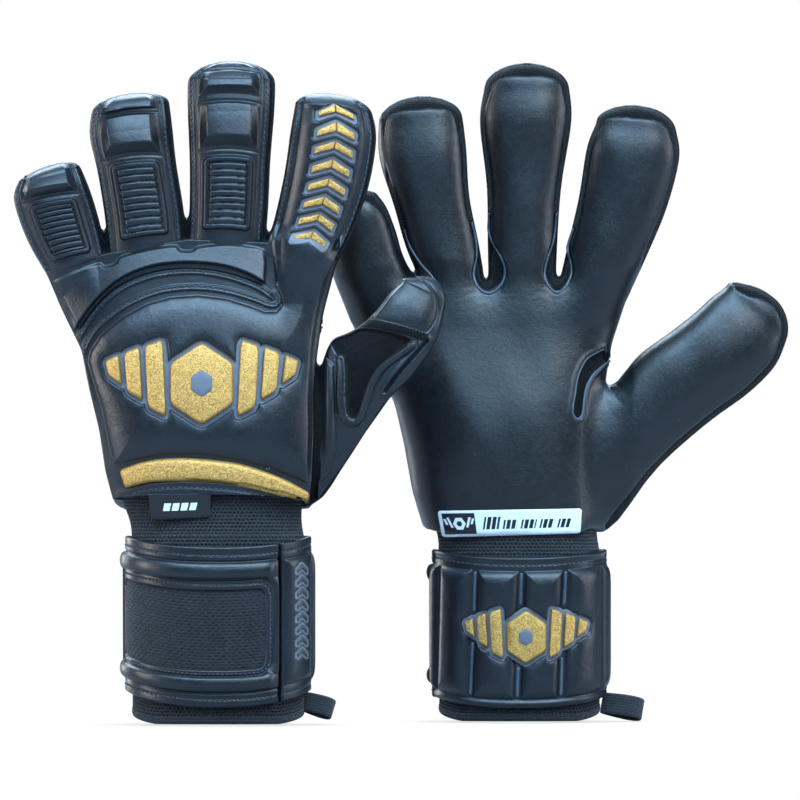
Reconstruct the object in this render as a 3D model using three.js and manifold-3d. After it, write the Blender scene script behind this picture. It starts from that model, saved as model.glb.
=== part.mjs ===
// A pair of goalkeeper gloves standing upright on their cuff hems, fingers up.
// Left glove shows the back of its hand to -Y, right glove shows its palm to -Y.
// Both thumbs point to +X. Units are millimetres, +Z up, +X from the left glove to the right.
//
// Pieces are shaped in points [x, depth, z]: depth runs from a glove's middle plane towards its
// palm. Angles round a tube are in degrees: 0 at the +X edge (on the thumb, its lower edge and,
// for the closed base, its upper edge), 90 on the palm side, 270 on the back of the hand.
import * as THREE from 'three';
import Module from 'manifold-3d';

const wasm = await Module();
wasm.setup();

// ---------------------------------------------------------------- driving dimensions
const DEPTH_OFFSET = 28;      // each glove's middle plane from the pair's middle plane
const LATEX = 4;              // foam latex wall
const EDGE_POWER = 2.5;       // superellipse power of the hand, finger and thumb tubes
const CUFF_POWER = 2.3;       // superellipse power of the cuff

// Measured outlines in the XZ plane.
// knuckles, leftEdge, rightEdge: [x, z]. Knuckles run towards +X, the -X and +X hand edges
// run from the wrist up.
// fingers: [left x, left z, right x, right z] from base to tip.
// thumb: [upper x, upper z, lower x, lower z] from the hand's edge to the tip.
const GLOVES = {
  left: {
    middleY: -DEPTH_OFFSET,
    palmSign: 1,
    cuff: {
      x: -77.8, halfWidth: 40.9, halfDepth: 29, sleeveTop: 80.4,
      top: 79.5, topSag: 4.5, bottom: 14, bottomSag: 6.8,
      windowBottom: 24, windowTop: 61.5,
    },
    loop: { rootX: -39.9, rootZ: 8.8, slope: -0.3, length: 13, width: 9, halfHeight: 2.2 },
    wristBackZ: 97,
    wristPalmZ: 86.2,
    knuckles: [[-151.9, 190.8], [-124.8, 198.9], [-90.9, 204.8], [-57.4, 203.6], [-26.4, 195.5]],
    leftEdge: [
      [-123.1, 94.6], [-126.5, 107.3], [-129.0, 124.3], [-133.3, 141.2],
      [-136.7, 158.2], [-145.2, 175.2], [-151.9, 190.8],
    ],
    rightEdge: [
      [-38.3, 91.2], [-37.0, 103.1], [-36.2, 120.0], [-36.2, 137.0],
      [-35.3, 154.0], [-32.8, 171.8], [-26.4, 195.5],
    ],
    thumb: [
      [-34.5, 151.4, -35.8, 93.8], [-29.8, 162.4, -23.5, 110.7], [-20.9, 166.3, -7.8, 134.5],
      [-12.0, 173.5, 4.1, 147.2], [-5.2, 181.9, 14.7, 162.4], [-0.2, 187.0, 18.5, 176.0],
      [4.9, 189.2, 14.3, 188.3],
    ],
    fingers: {
      index: [
        [-57.0, 204.0, -26.9, 195.9], [-53.6, 215.9, -20.1, 209.9],
        [-49.8, 233.7, -13.7, 228.6], [-47.2, 251.5, -10.8, 247.7],
        [-45.5, 261.2, -12.4, 258.3], [-40.0, 266.3, -20.9, 265.0],
      ],
      middle: [
        [-90.5, 205.3, -57.8, 204.0], [-90.0, 219.7, -56.5, 219.3],
        [-90.0, 238.8, -55.7, 238.3], [-90.9, 259.1, -54.0, 259.1],
        [-90.9, 271.0, -53.6, 271.0], [-84.5, 278.2, -59.5, 278.2],
      ],
      ring: [
        [-124.4, 199.8, -91.3, 205.3], [-126.1, 215.4, -92.6, 218.8],
        [-129.0, 233.7, -95.6, 237.1], [-132.4, 248.9, -97.2, 252.8],
        [-131.6, 258.7, -98.5, 262.9], [-124.8, 264.6, -104.5, 266.7],
      ],
      pinky: [
        [-151.5, 191.7, -125.2, 199.3], [-157.9, 202.7, -127.4, 209.5],
        [-162.5, 214.2, -130.3, 220.5], [-164.7, 223.1, -133.3, 229.0],
        [-163.0, 228.6, -135.8, 234.9], [-157.9, 232.8, -140.9, 237.9],
      ],
    },
  },
  right: {
    middleY: DEPTH_OFFSET,
    palmSign: -1,
    cuff: {
      x: 50.3, halfWidth: 38.9, halfDepth: 28.5, sleeveTop: 73.9,
      top: 73.2, topSag: 3.2, bottom: 10.2, bottomSag: 4.6,
      windowBottom: 20, windowTop: 56,
    },
    loop: { rootX: 85.9, rootZ: 7.4, slope: -0.18, length: 17, width: 10, halfHeight: 2.4 },
    wristBackZ: 90,
    wristPalmZ: 79.2,
    knuckles: [[-25.0, 176.4], [9.3, 184.1], [36.7, 181.1], [66.2, 183.2], [97.0, 179.8]],
    leftEdge: [
      [8.4, 83.2], [3.7, 98.5], [0.3, 117.7], [-4.0, 136.1],
      [-11.7, 149.0], [-19.4, 162.7], [-25.0, 176.4],
    ],
    rightEdge: [
      [87.2, 82.6], [87.2, 94.2], [87.2, 111.3], [87.2, 128.4],
      [88.0, 145.6], [90.6, 160.5], [97.0, 179.8],
    ],
    thumb: [
      [90.6, 143.8, 89.3, 84.2], [100.9, 155.8, 108.6, 107.0], [113.7, 165.2, 130.4, 126.7],
      [125.3, 174.2, 147.9, 139.6], [132.5, 181.1, 159.5, 151.1], [138.5, 185.4, 164.2, 161.4],
      [147.1, 186.6, 161.6, 178.5],
    ],
    fingers: {
      index: [
        [66.6, 184.1, 96.6, 180.7], [70.9, 203.3, 106.0, 201.2], [75.6, 223.5, 113.7, 220.0],
        [79.0, 244.9, 118.8, 240.6], [82.9, 255.1, 117.6, 251.7], [89.7, 262.0, 109.4, 261.1],
      ],
      middle: [
        [37.1, 181.9, 65.8, 184.1], [36.7, 205.5, 66.6, 205.5], [36.2, 229.0, 68.3, 229.0],
        [33.2, 256.0, 72.6, 256.0], [35.0, 269.7, 71.8, 269.7], [42.7, 279.1, 64.1, 279.1],
      ],
      ring: [
        [9.7, 184.9, 36.2, 181.9], [2.4, 200.3, 33.2, 202.5], [-3.6, 220.5, 29.0, 223.9],
        [-9.6, 239.7, 27.7, 244.0], [-10.0, 254.7, 26.0, 258.1], [-1.9, 265.0, 16.1, 266.3],
      ],
      pinky: [
        [-24.5, 177.2, 8.8, 184.5], [-30.1, 191.8, 1.1, 197.3], [-32.2, 204.6, -2.7, 209.8],
        [-32.2, 214.9, -6.6, 219.6], [-30.1, 220.9, -10.0, 224.3], [-25.8, 224.7, -15.6, 226.9],
      ],
    },
  },
};

// ---------------------------------------------------------------- materials
const FINISHES = {
  latex: { color: 0x15171b, roughness: 0.45 },
  back: { color: 0x1b1f27, roughness: 0.42 },
  knit: { color: 0x0b0c0e, roughness: 0.95 },
  mesh: { color: 0x101216, roughness: 0.9 },
  hook: { color: 0x08090a, roughness: 0.85 },
};
const makeMaterial = (finish) =>
  new THREE.MeshStandardMaterial({ ...FINISHES[finish], metalness: 0 });

// ---------------------------------------------------------------- helpers
const rad = (degrees) => degrees * Math.PI / 180;
const lerp = (a, b, share) => a + (b - a) * share;

// Evenly spaced angles in radians; a full turn leaves out its repeated last angle.
function arcAngles([from, to], segments, closed = false) {
  const count = closed ? segments : segments + 1;
  return Array.from({ length: count }, (_, i) => lerp(rad(from), rad(to), i / segments));
}

function superellipse(angle, power, halfWidth, halfDepth) {
  const swell = (v) => Math.sign(v) * Math.abs(v) ** (2 / power);
  return [swell(Math.cos(angle)) * halfWidth, swell(Math.sin(angle)) * halfDepth];
}

// Row of a table at a value of its rising first column.
function interpolate(rows, key) {
  const i = rows.findIndex((row, k) => k > 0 && key <= row[0]);
  const share = (key - rows[i - 1][0]) / (rows[i][0] - rows[i - 1][0]);
  return rows[i - 1].map((start, k) => lerp(start, rows[i][k], share));
}

// Point at a share of a polyline's length.
function pointAlong(line, share) {
  let length = 0;
  const rows = line.map(([x, z], i) => {
    if (i > 0) length += Math.hypot(x - line[i - 1][0], z - line[i - 1][1]);
    return [length, x, z];
  });
  return interpolate(rows, share * length).slice(1);
}

// How far an end plane is cut back at a depth, so that the joint has room to fold.
const foldGap = (gap, palmFold, backFold = 0) => (depth) =>
  gap + Math.abs(depth) * Math.tan(rad(depth > 0 ? palmFold : backFold) / 2);

// A wall with thickness: every station holds matching outer and inner rows of points.
function wall(glove, stations, closed = false) {
  const positions = [];
  const indices = [];
  const addRow = (row) => row.map(([x, depth, z]) =>
    positions.push(x, glove.middleY + glove.palmSign * depth, z) / 3 - 1);
  const rows = stations.map((s) => ({ outer: addRow(s.outer), inner: addRow(s.inner) }));
  const quad = (a, b, c, d) => indices.push(a, b, c, a, c, d);

  const count = rows[0].outer.length;
  const end = count - 1;
  const spans = closed ? count : end;
  for (let i = 0; i < rows.length - 1; i++) {
    const { outer, inner } = rows[i];
    const { outer: nextOuter, inner: nextInner } = rows[i + 1];
    for (let j = 0; j < spans; j++) {
      const k = (j + 1) % count;
      quad(outer[j], outer[k], nextOuter[k], nextOuter[j]);
      quad(inner[k], inner[j], nextInner[j], nextInner[k]);
    }
    if (!closed) {
      quad(outer[end], inner[end], nextInner[end], nextOuter[end]);
      quad(inner[0], outer[0], nextOuter[0], nextInner[0]);
    }
  }
  const first = rows[0];
  const last = rows.at(-1);
  for (let j = 0; j < spans; j++) {
    const k = (j + 1) % count;
    quad(first.outer[k], first.outer[j], first.inner[j], first.inner[k]);
    quad(last.outer[j], last.outer[k], last.inner[k], last.inner[j]);
  }

  orientOutwards(positions, indices);
  const geometry = new THREE.BufferGeometry();
  geometry.setAttribute('position', new THREE.Float32BufferAttribute(positions, 3));
  geometry.setIndex(indices);
  return geometry;
}

// Turns every triangle over when the enclosed volume comes out negative.
function orientOutwards(positions, indices) {
  let volume = 0;
  for (let i = 0; i < indices.length; i += 3) {
    const [a, b, c] = indices.slice(i, i + 3)
      .map((index) => new THREE.Vector3().fromArray(positions, 3 * index));
    volume += a.dot(b.cross(c));
  }
  if (volume >= 0) return;
  for (let i = 0; i < indices.length; i += 3) {
    [indices[i], indices[i + 1]] = [indices[i + 1], indices[i]];
  }
}

function subtract(body, cutter) {
  const [bodySolid, cutterSolid] = [body, cutter].map((geometry) =>
    new wasm.Manifold(new wasm.Mesh({
      numProp: 3,
      vertProperties: new Float32Array(geometry.attributes.position.array),
      triVerts: new Uint32Array(geometry.index.array),
    })));
  const mesh = bodySolid.subtract(cutterSolid).getMesh();
  const positions = new Float32Array(mesh.vertProperties);
  const geometry = new THREE.BufferGeometry();
  geometry.setAttribute('position', new THREE.BufferAttribute(positions, 3));
  geometry.setIndex(new THREE.BufferAttribute(new Uint32Array(mesh.triVerts), 1));
  return geometry;
}

// ---------------------------------------------------------------- cuff
const WINDOW_ARC = [190, 284];
const WINDOW_GAP = 0.5;       // above and below the mesh in the strap window
const WINDOW_GAP_ANGLE = 1;   // degrees at each side of that mesh
const HOOK_MARGIN = 6;        // hook patch from the strap's top and bottom edges

// insets: outer and inner surface below the cuff's outer surface.
// bottom, top: height at an angle.
function cuffWall(glove, { arc, segments, insets, bottom, top, closed = false }) {
  const { x, halfWidth, halfDepth } = glove.cuff;
  const angles = arcAngles(arc, segments, closed);
  const ring = (inset, height) => angles.map((angle) => {
    const [across, depth] =
      superellipse(angle, CUFF_POWER, halfWidth - inset, halfDepth - inset);
    return [x + across, depth, height(angle)];
  });
  const stations = [bottom, top].map((height) => ({
    outer: ring(insets[0], height),
    inner: ring(insets[1], height),
  }));
  return wall(glove, stations, closed);
}

function buildCuff(glove, add) {
  const { cuff } = glove;
  const level = (z) => () => z;
  const sag = (angle) => Math.abs(Math.sin(angle)) ** 1.6;
  const bottom = (angle) => cuff.bottom - cuff.bottomSag * sag(angle);
  const top = (angle) => cuff.top - cuff.topSag * sag(angle);
  // The sleeve's hem rises at the two side edges.
  const hem = (angle) => Math.max(0, 5.5 * (1 - Math.abs(Math.sin(angle)) ** 0.9) - 1.4);

  const piece = (arc, segments, insets, edges = { bottom, top }) =>
    cuffWall(glove, { arc, segments, insets, ...edges });

  const sleeveEdges = { bottom: hem, top: level(cuff.sleeveTop), closed: true };
  add('knit_sleeve', piece([0, 360], 28, [5.2, 7.4], sleeveEdges), 'knit');
  add('cuff_pad', piece([3, 171], 14, [0, 4.6]), 'latex');

  const strap = piece([173, 303], 14, [0, 4.2]);
  const windowCutter = piece(WINDOW_ARC, 10, [-3, 9], {
    bottom: level(cuff.windowBottom),
    top: level(cuff.windowTop),
  });
  add('wrist_strap', subtract(strap, windowCutter), 'back');

  const meshArc = [WINDOW_ARC[0] + WINDOW_GAP_ANGLE, WINDOW_ARC[1] - WINDOW_GAP_ANGLE];
  add('strap_window', piece(meshArc, 9, [1.6, 3.4], {
    bottom: level(cuff.windowBottom + WINDOW_GAP),
    top: level(cuff.windowTop - WINDOW_GAP),
  }), 'mesh');

  add('hook_patch', piece([309, 340], 4, [3.5, 4.7], {
    bottom: (angle) => bottom(angle) + HOOK_MARGIN,
    top: (angle) => top(angle) - HOOK_MARGIN,
  }), 'hook');
  add('strap_tab', piece([305.5, 357], 6, [0, 3]), 'back');
}

// ---------------------------------------------------------------- pull loop
const WEBBING_HALF = 0.6;                   // half the webbing's thickness
const LOOP_SHARES = [0, 0.3, 0.7, 0.93];    // shares of the length where its sides have points
const LOOP_ROOT_SHARE = 0.35;               // height at the root over full height

// A folded webbing band leaving the hem on the thumb side.
function buildPullLoop(glove, add) {
  const { rootX, rootZ, slope, length, width, halfHeight } = glove.loop;
  const dirX = 1 / Math.hypot(1, slope);
  const dirZ = slope * dirX;
  const band = (grow, y) => {
    const side = (sign) => LOOP_SHARES.map((share) =>
      [share * length, sign * (lerp(LOOP_ROOT_SHARE, 1, share) * halfHeight + grow)]);
    const outline = [...side(1), [length + grow, 0], ...side(-1).reverse(), [-grow, 0]];
    return outline.map(([out, up]) =>
      [rootX + dirX * out - dirZ * up, y, rootZ + dirZ * out + dirX * up]);
  };
  const stations = [-width / 2, width / 2].map((y) => ({
    outer: band(WEBBING_HALF, y),
    inner: band(-WEBBING_HALF, y),
  }));
  add('pull_loop', wall(glove, stations, true), 'knit');
}

// ---------------------------------------------------------------- hand
const HAND_INSET = 0.4;       // outer surface inside the measured outline
const HAND_HALF_WIDTH = 44;   // nominal, turns an inset into a share of the width
// [share of the height from wrist to knuckles, half depth]
const HAND_DEPTHS = [[0, 23.5], [0.3, 23.5], [0.6, 21.5], [0.82, 17.5], [1, 13.2]];
const knuckleGap = foldGap(0.6, 30, 10);    // fingers fold 30 degrees, bend back 10

// heights: shares of the way from the wrist to the knuckles.
const HAND_PANELS = [
  { name: 'palm_panel', arc: [17, 179.3], segments: 16,
    heights: [0, 0.2, 0.4, 0.6, 0.8, 0.92, 1], thickness: LATEX, finish: 'latex' },
  { name: 'backhand_panel', arc: [180.7, 343], segments: 16,
    heights: [0, 0.2, 0.4, 0.6, 0.74], thickness: LATEX, finish: 'back' },
  { name: 'knuckle_pad', arc: [180.7, 343], segments: 16,
    heights: [0.75, 0.88, 1], thickness: LATEX, finish: 'back' },
  { name: 'thumb_web_gusset', arc: [-14.5, 14.5], segments: 4,
    heights: [0.66, 0.82, 0.97], thickness: 2.8, finish: 'mesh' },
];

// Blends the four outline edges: across runs from 0 at -X to 1 at +X, height from 0 to 1.
function handPoint(glove, across, height, depth, halfDepth) {
  const { knuckles, leftEdge, rightEdge } = glove;
  const [topLeft, topRight] = [knuckles[0], knuckles.at(-1)];
  const top = interpolate(knuckles, lerp(topLeft[0], topRight[0], across));
  const left = pointAlong(leftEdge, height);
  const right = pointAlong(rightEdge, height);
  const bottom = [0, 1].map((k) => lerp(leftEdge[0][k], rightEdge[0][k], across));
  let [x, z] = [0, 1].map((k) => {
    const leftBulge = left[k] - lerp(leftEdge[0][k], topLeft[k], height);
    const rightBulge = right[k] - lerp(rightEdge[0][k], topRight[k], height);
    return lerp(bottom[k], top[k], height) + lerp(leftBulge, rightBulge, across);
  });
  // The wrist edge has its own height on each face.
  const wristZ = depth < 0 ? glove.wristBackZ : glove.wristPalmZ;
  z += (1 - height) ** 2 * (wristZ - bottom[1]) * Math.abs(depth) / halfDepth;
  if (height === 1) z -= knuckleGap(depth);
  return [x, depth, z];
}

function buildHand(glove, add) {
  for (const { name, arc, segments, heights, thickness, finish } of HAND_PANELS) {
    const angles = arcAngles(arc, segments);
    const stations = heights.map((height) => {
      const halfDepth = interpolate(HAND_DEPTHS, height)[1];
      const ring = (inset) => angles.map((angle) => {
        const [side, depth] =
          superellipse(angle, EDGE_POWER, 1 - inset / HAND_HALF_WIDTH, halfDepth - inset);
        return handPoint(glove, (side + 1) / 2, height, depth, halfDepth);
      });
      return { outer: ring(HAND_INSET), inner: ring(HAND_INSET + thickness) };
    });
    add(name, wall(glove, stations), finish);
  }
}

// ---------------------------------------------------------------- fingers and thumb
const FINGER_DEPTHS = [13, 12.6, 12.6, 12.8, 10.5, 4.5];    // half depth at each station
const THUMB_DEPTHS = [15, 15, 14.5, 13.5, 11.5, 8.5, 3.5];
const DIGIT_TRIM = 0.5;       // taken off each side of the measured width
const THUMB_BASE_TRIM = 0.8;
const MAX_WALL_SHARE = 0.7;   // thickest wall over half width or half depth, for the tips
const middleGap = foldGap(0.4, 45);
const thumbGap = foldGap(0.5, 30);
const noGap = () => 0;

// The two covers of a digit: latex rolled round the palm side, and a strip on the back.
const COVERS = [
  { cover: 'roll', arc: [-26, 206], segments: 9, finish: 'latex' },
  { cover: 'back', arc: [209, 331], segments: 5, finish: 'back' },
];

// Rows of one tube station. shift moves a point square to the station's line in XZ,
// to the left of its direction from start to end.
function tubeStation([startX, startZ, endX, endZ], halfDepth, angles, trim, shift) {
  const width = Math.hypot(endX - startX, endZ - startZ);
  const dirX = (endX - startX) / width;
  const dirZ = (endZ - startZ) / width;
  const halfWidth = width / 2 - trim;
  const ring = (inset) => angles.map((angle) => {
    const [across, depth] =
      superellipse(angle, EDGE_POWER, halfWidth - inset, halfDepth - inset);
    const along = shift(depth);
    return [
      (startX + endX) / 2 + dirX * across - dirZ * along,
      depth,
      (startZ + endZ) / 2 + dirZ * across + dirX * along,
    ];
  });
  const thickness = Math.min(LATEX, Math.min(halfWidth, halfDepth) * MAX_WALL_SHARE);
  return { outer: ring(0), inner: ring(thickness) };
}

// Cover of a digit from one station to another, cut back at both ends for the folds.
function coverPiece(glove, digit, depths, { arc, segments }, { from, to, lowGap, highGap }) {
  const angles = arcAngles(arc, segments);
  const stations = digit.slice(from, to + 1).map((ends, k) => {
    let shift = noGap;
    if (k === 0) shift = lowGap;
    if (k === to - from) shift = (depth) => -highGap(depth);
    return tubeStation(ends, depths[from + k], angles, DIGIT_TRIM, shift);
  });
  return wall(glove, stations);
}

const FINGER_JOINTS = [
  { joint: 'base', from: 0, to: 2, lowGap: knuckleGap, highGap: middleGap },
  { joint: 'tip', from: 2, to: 5, lowGap: middleGap, highGap: noGap },
];

function buildFingers(glove, add) {
  for (const [finger, outline] of Object.entries(glove.fingers)) {
    for (const span of FINGER_JOINTS) {
      for (const style of COVERS) {
        const geometry = coverPiece(glove, outline, FINGER_DEPTHS, style, span);
        add(`${finger}_${style.cover}_${span.joint}`, geometry, style.finish);
      }
    }
  }
}

function buildThumb(glove, add) {
  const foldStation = 2;
  const angles = arcAngles([0, 360], 18, true);
  // The closed base runs its stations from the lower edge to the upper.
  const stations = glove.thumb.slice(0, foldStation + 1).map(([upX, upZ, lowX, lowZ], i) => {
    const shift = i === foldStation ? thumbGap : noGap;
    return tubeStation([lowX, lowZ, upX, upZ], THUMB_DEPTHS[i], angles, THUMB_BASE_TRIM, shift);
  });
  add('thumb_base', wall(glove, stations, true), 'latex');

  const span = { from: foldStation, to: 6, lowGap: thumbGap, highGap: noGap };
  for (const style of COVERS) {
    const geometry = coverPiece(glove, glove.thumb, THUMB_DEPTHS, style, span);
    add(`thumb_${style.cover}`, geometry, style.finish);
  }
}

// ---------------------------------------------------------------- assembly
const pair = new THREE.Group();
for (const [side, glove] of Object.entries(GLOVES)) {
  const group = new THREE.Group();
  pair.add(group);
  const add = (name, geometry, finish) => {
    const mesh = new THREE.Mesh(geometry, makeMaterial(finish));
    mesh.name = `${side}_${name}`;
    group.add(mesh);
  };
  buildCuff(glove, add);
  buildPullLoop(glove, add);
  buildHand(glove, add);
  buildFingers(glove, add);
  buildThumb(glove, add);
}

// Centre the pair on the origin in plan, standing on z = 0.
const box = new THREE.Box3().setFromObject(pair);
const centre = box.getCenter(new THREE.Vector3());
pair.position.set(-centre.x, -centre.y, -box.min.z);
pair.updateMatrixWorld(true);

export default pair;
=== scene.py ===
# Goalkeeper gloves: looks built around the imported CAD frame.
import bpy, math
import numpy as np
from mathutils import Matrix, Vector
from mathutils.bvhtree import BVHTree

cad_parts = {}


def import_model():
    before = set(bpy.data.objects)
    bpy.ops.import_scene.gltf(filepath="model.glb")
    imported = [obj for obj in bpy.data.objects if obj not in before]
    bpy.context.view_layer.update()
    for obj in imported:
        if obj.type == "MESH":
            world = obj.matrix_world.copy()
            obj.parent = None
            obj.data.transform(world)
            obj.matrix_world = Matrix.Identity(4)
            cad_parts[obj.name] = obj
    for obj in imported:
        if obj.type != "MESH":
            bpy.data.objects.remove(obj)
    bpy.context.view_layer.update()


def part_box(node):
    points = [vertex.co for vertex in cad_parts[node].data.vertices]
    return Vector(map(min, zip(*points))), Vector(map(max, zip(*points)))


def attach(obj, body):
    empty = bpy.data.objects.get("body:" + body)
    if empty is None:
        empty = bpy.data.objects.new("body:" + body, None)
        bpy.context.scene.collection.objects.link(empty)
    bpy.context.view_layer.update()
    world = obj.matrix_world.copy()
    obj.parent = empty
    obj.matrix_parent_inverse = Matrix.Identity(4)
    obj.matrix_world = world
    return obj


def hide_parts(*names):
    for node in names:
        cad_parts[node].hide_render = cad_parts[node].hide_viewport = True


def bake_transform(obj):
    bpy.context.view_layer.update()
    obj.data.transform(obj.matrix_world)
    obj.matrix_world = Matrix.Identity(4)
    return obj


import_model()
RES = 1.0

# ------------------------------------------------------------------ layout
# Pattern sheet coordinates (x right, y down) of each glove's outline; mm() places them in the frame.
SCALE = {"left": 0.424, "right": 0.428}
Y0 = {"left": -28.0, "right": 28.0}
PALM = {"left": 1.0, "right": -1.0}
_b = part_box("left_knit_sleeve")
OFFX = (_b[0].x + _b[1].x) * 500 + 77.8
OFFY = (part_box("left_knit_sleeve")[0].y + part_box("left_knit_sleeve")[1].y) * 500 + 28.0
CUFF = {"left": dict(x=-77.8, a=40.9, b=29.0, top=79.5, ts=4.5, bot=14.0, bs=6.8, sleeve=80.4, cx=218.0, k=96.0),
        "right": dict(x=50.3, a=38.9, b=28.5, top=73.2, ts=3.2, bot=10.2, bs=4.6, sleeve=73.9, cx=517.0, k=90.5)}
HANDZ = {"left": (97.0, 86.2), "right": (90.0, 79.2)}
WRISTZ = {"left": 83.0, "right": 76.0}
L = {
 "left": dict(
  top=[(44,273),(108,254),(188,240),(267,243),(340,262)],
  left=[(112,500),(104,470),(98,430),(88,390),(80,350),(60,310),(44,273)],
  right=[(312,508),(315,480),(317,440),(317,400),(319,360),(325,318),(340,262)],
  thumb=[((321,366),(318,502)),((332,340),(347,462)),((353,331),(384,406)),((374,314),(412,376)),((390,294),(437,340)),((402,282),(446,308)),((414,277),(436,279))],
  pinky=[((45,271),(107,253)),((30,245),(102,229)),((19,218),(95,203)),((14,197),(88,183)),((18,184),(82,169)),((30,174),(70,162))],
  ring=[((109,252),(187,239)),((105,215),(184,207)),((98,172),(177,164)),((90,136),(173,127)),((92,113),(170,103)),((108,99),(156,94))],
  middle=[((189,239),(266,242)),((190,205),(269,206)),((190,160),(271,161)),((188,112),(275,112)),((188,84),(276,84)),((203,67),(262,67))],
  index=[((268,242),(339,261)),((276,214),(355,228)),((285,172),(370,184)),((291,130),(377,139)),((295,107),(373,114)),((308,95),(353,98))]),
 "right": dict(
  top=[(344,308),(424,290),(488,297),(557,292),(629,300)],
  left=[(422,527),(411,490),(403,445),(393,402),(375,372),(357,340),(344,308)],
  right=[(606,532),(606,500),(606,460),(606,420),(608,380),(614,345),(629,300)],
  thumb=[((614,384),(611,528)),((638,356),(656,470)),((668,334),(707,424)),((695,313),(748,394)),((712,297),(775,367)),((726,287),(786,343)),((746,284),(780,303))],
  pinky=[((345,306),(423,289)),((332,272),(405,259)),((327,242),(396,230)),((327,218),(387,207)),((332,204),(379,196)),((342,195),(366,190))],
  ring=[((425,288),(487,295)),((408,252),(480,247)),((394,205),(470,197)),((380,160),(467,150)),((379,125),(463,117)),((398,101),(440,98))],
  middle=[((489,295),(556,290)),((488,240),(558,240)),((487,185),(562,185)),((480,122),(572,122)),((484,90),(570,90)),((502,68),(552,68))],
  index=[((558,290),(628,298)),((568,245),(650,250)),((579,198),(668,206)),((587,148),(680,158)),((596,124),(677,132)),((612,108),(658,110))])}
FD = [13, 12.6, 12.6, 12.8, 10.5, 4.5]
TD = [15, 15, 14.5, 13.5, 11.5, 8.5, 3.5]
FINGERS = ["index", "middle", "ring", "pinky"]

def mm(g, p):
    p = np.asarray(p, float)
    s = SCALE[g]
    return np.stack([(p[..., 0] - 400) * s - 1.0 + OFFX, 137 + (400 - p[..., 1]) * s], -1)

def world(g, xz, d):
    """d is depth from the glove's middle plane, palm side positive."""
    return np.stack([xz[..., 0], Y0[g] + OFFY + PALM[g] * d, xz[..., 1]], -1)

def se(v, m):
    return np.sign(v) * np.abs(v) ** (2.0 / m)

def sstep(a, b, x):
    t = np.clip((x - a) / (b - a), 0, 1)
    return t * t * (3 - 2 * t)

def catmull(P, t):
    """P (n, k) control rows, t floats in [0, n-1]."""
    P = np.asarray(P, float)
    n = len(P)
    ext = np.vstack([2 * P[0] - P[1], P, 2 * P[-1] - P[-2]])
    t = np.clip(np.asarray(t, float), 0, n - 1 - 1e-9)
    i = t.astype(int); f = (t - i)[..., None]
    a, b, c, d = ext[i], ext[i + 1], ext[i + 2], ext[i + 3]
    return 0.5 * ((2 * b) + (c - a) * f + (2 * a - 5 * b + 4 * c - d) * f * f + (3 * b - a - 3 * c + d) * f ** 3)

def along(poly, t):
    poly = np.asarray(poly, float)
    seg = np.hypot(*(poly[1:] - poly[:-1]).T)
    cum = np.concatenate([[0], np.cumsum(seg)]) / seg.sum()
    return np.stack([np.interp(t, cum, poly[:, 0]), np.interp(t, cum, poly[:, 1])], -1)

def smooth_poly(pts, n, closed=False):
    P = np.asarray(pts, float)
    if closed:
        P = np.vstack([P, P[:1]])
    return catmull(P, np.linspace(0, len(P) - 1, n))

def dist_line(P, poly, closed=False):
    """distance of points P (...,2) to a polyline, and the share along it of the nearest point."""
    poly = np.asarray(poly, float)
    if closed:
        poly = np.vstack([poly, poly[:1]])
    best = np.full(P.shape[:-1], 1e9); tt = np.zeros(P.shape[:-1])
    n = len(poly) - 1
    for i in range(n):
        a, b = poly[i], poly[i + 1]
        d = b - a
        q = np.clip(((P - a) @ d) / max(d @ d, 1e-9), 0, 1)
        r = np.hypot(P[..., 0] - a[0] - q * d[0], P[..., 1] - a[1] - q * d[1])
        m = r < best
        best = np.where(m, r, best); tt = np.where(m, (i + q) / n, tt)
    return best, tt

def inside(P, poly):
    poly = np.asarray(poly, float)
    x, y = P[..., 0], P[..., 1]
    c = np.zeros(x.shape, bool)
    j = len(poly) - 1
    for i in range(len(poly)):
        xi, yi = poly[i]; xj, yj = poly[j]
        hit = ((yi > y) != (yj > y)) & (x < (xj - xi) * (y - yi) / ((yj - yi) if abs(yj - yi) > 1e-12 else 1e-12) + xi)
        c ^= hit
        j = i
    return c

def sdf(P, poly):
    d, _ = dist_line(P, poly, True)
    return np.where(inside(P, poly), -d, d)

# ------------------------------------------------------------------ hand surface (shared mapping of both gloves)
def top_line(g, h):
    T = mm(g, L[g]["top"])
    x = T[0, 0] + (T[-1, 0] - T[0, 0]) * h
    return np.stack([x, np.interp(x, T[:, 0], T[:, 1])], -1)

def hand_xz(g, h, t):
    Lf, Rt = mm(g, L[g]["left"]), mm(g, L[g]["right"])
    T = top_line(g, h)
    T0, T1 = mm(g, L[g]["top"][0]), mm(g, L[g]["top"][-1])
    B = Lf[0] + (Rt[0] - Lf[0]) * h[..., None]
    tt, hh = t[..., None], h[..., None]
    return (B + (T - B) * tt + (1 - hh) * (along(Lf, t) - (Lf[0] + (T0 - Lf[0]) * tt)) + hh * (along(Rt, t) - (Rt[0] + (T1 - Rt[0]) * tt)))

def hand_b(t):
    t = np.clip(t, 0, 1.3)
    K = np.array([23.5, 23.5, 23.5, 23.0, 21.6, 19.2, 16.5, 14.4, 13.4, 13.3, 13.2])
    return catmull(K[:, None], np.clip(t * 8, 0, 9.99))[..., 0]

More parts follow.
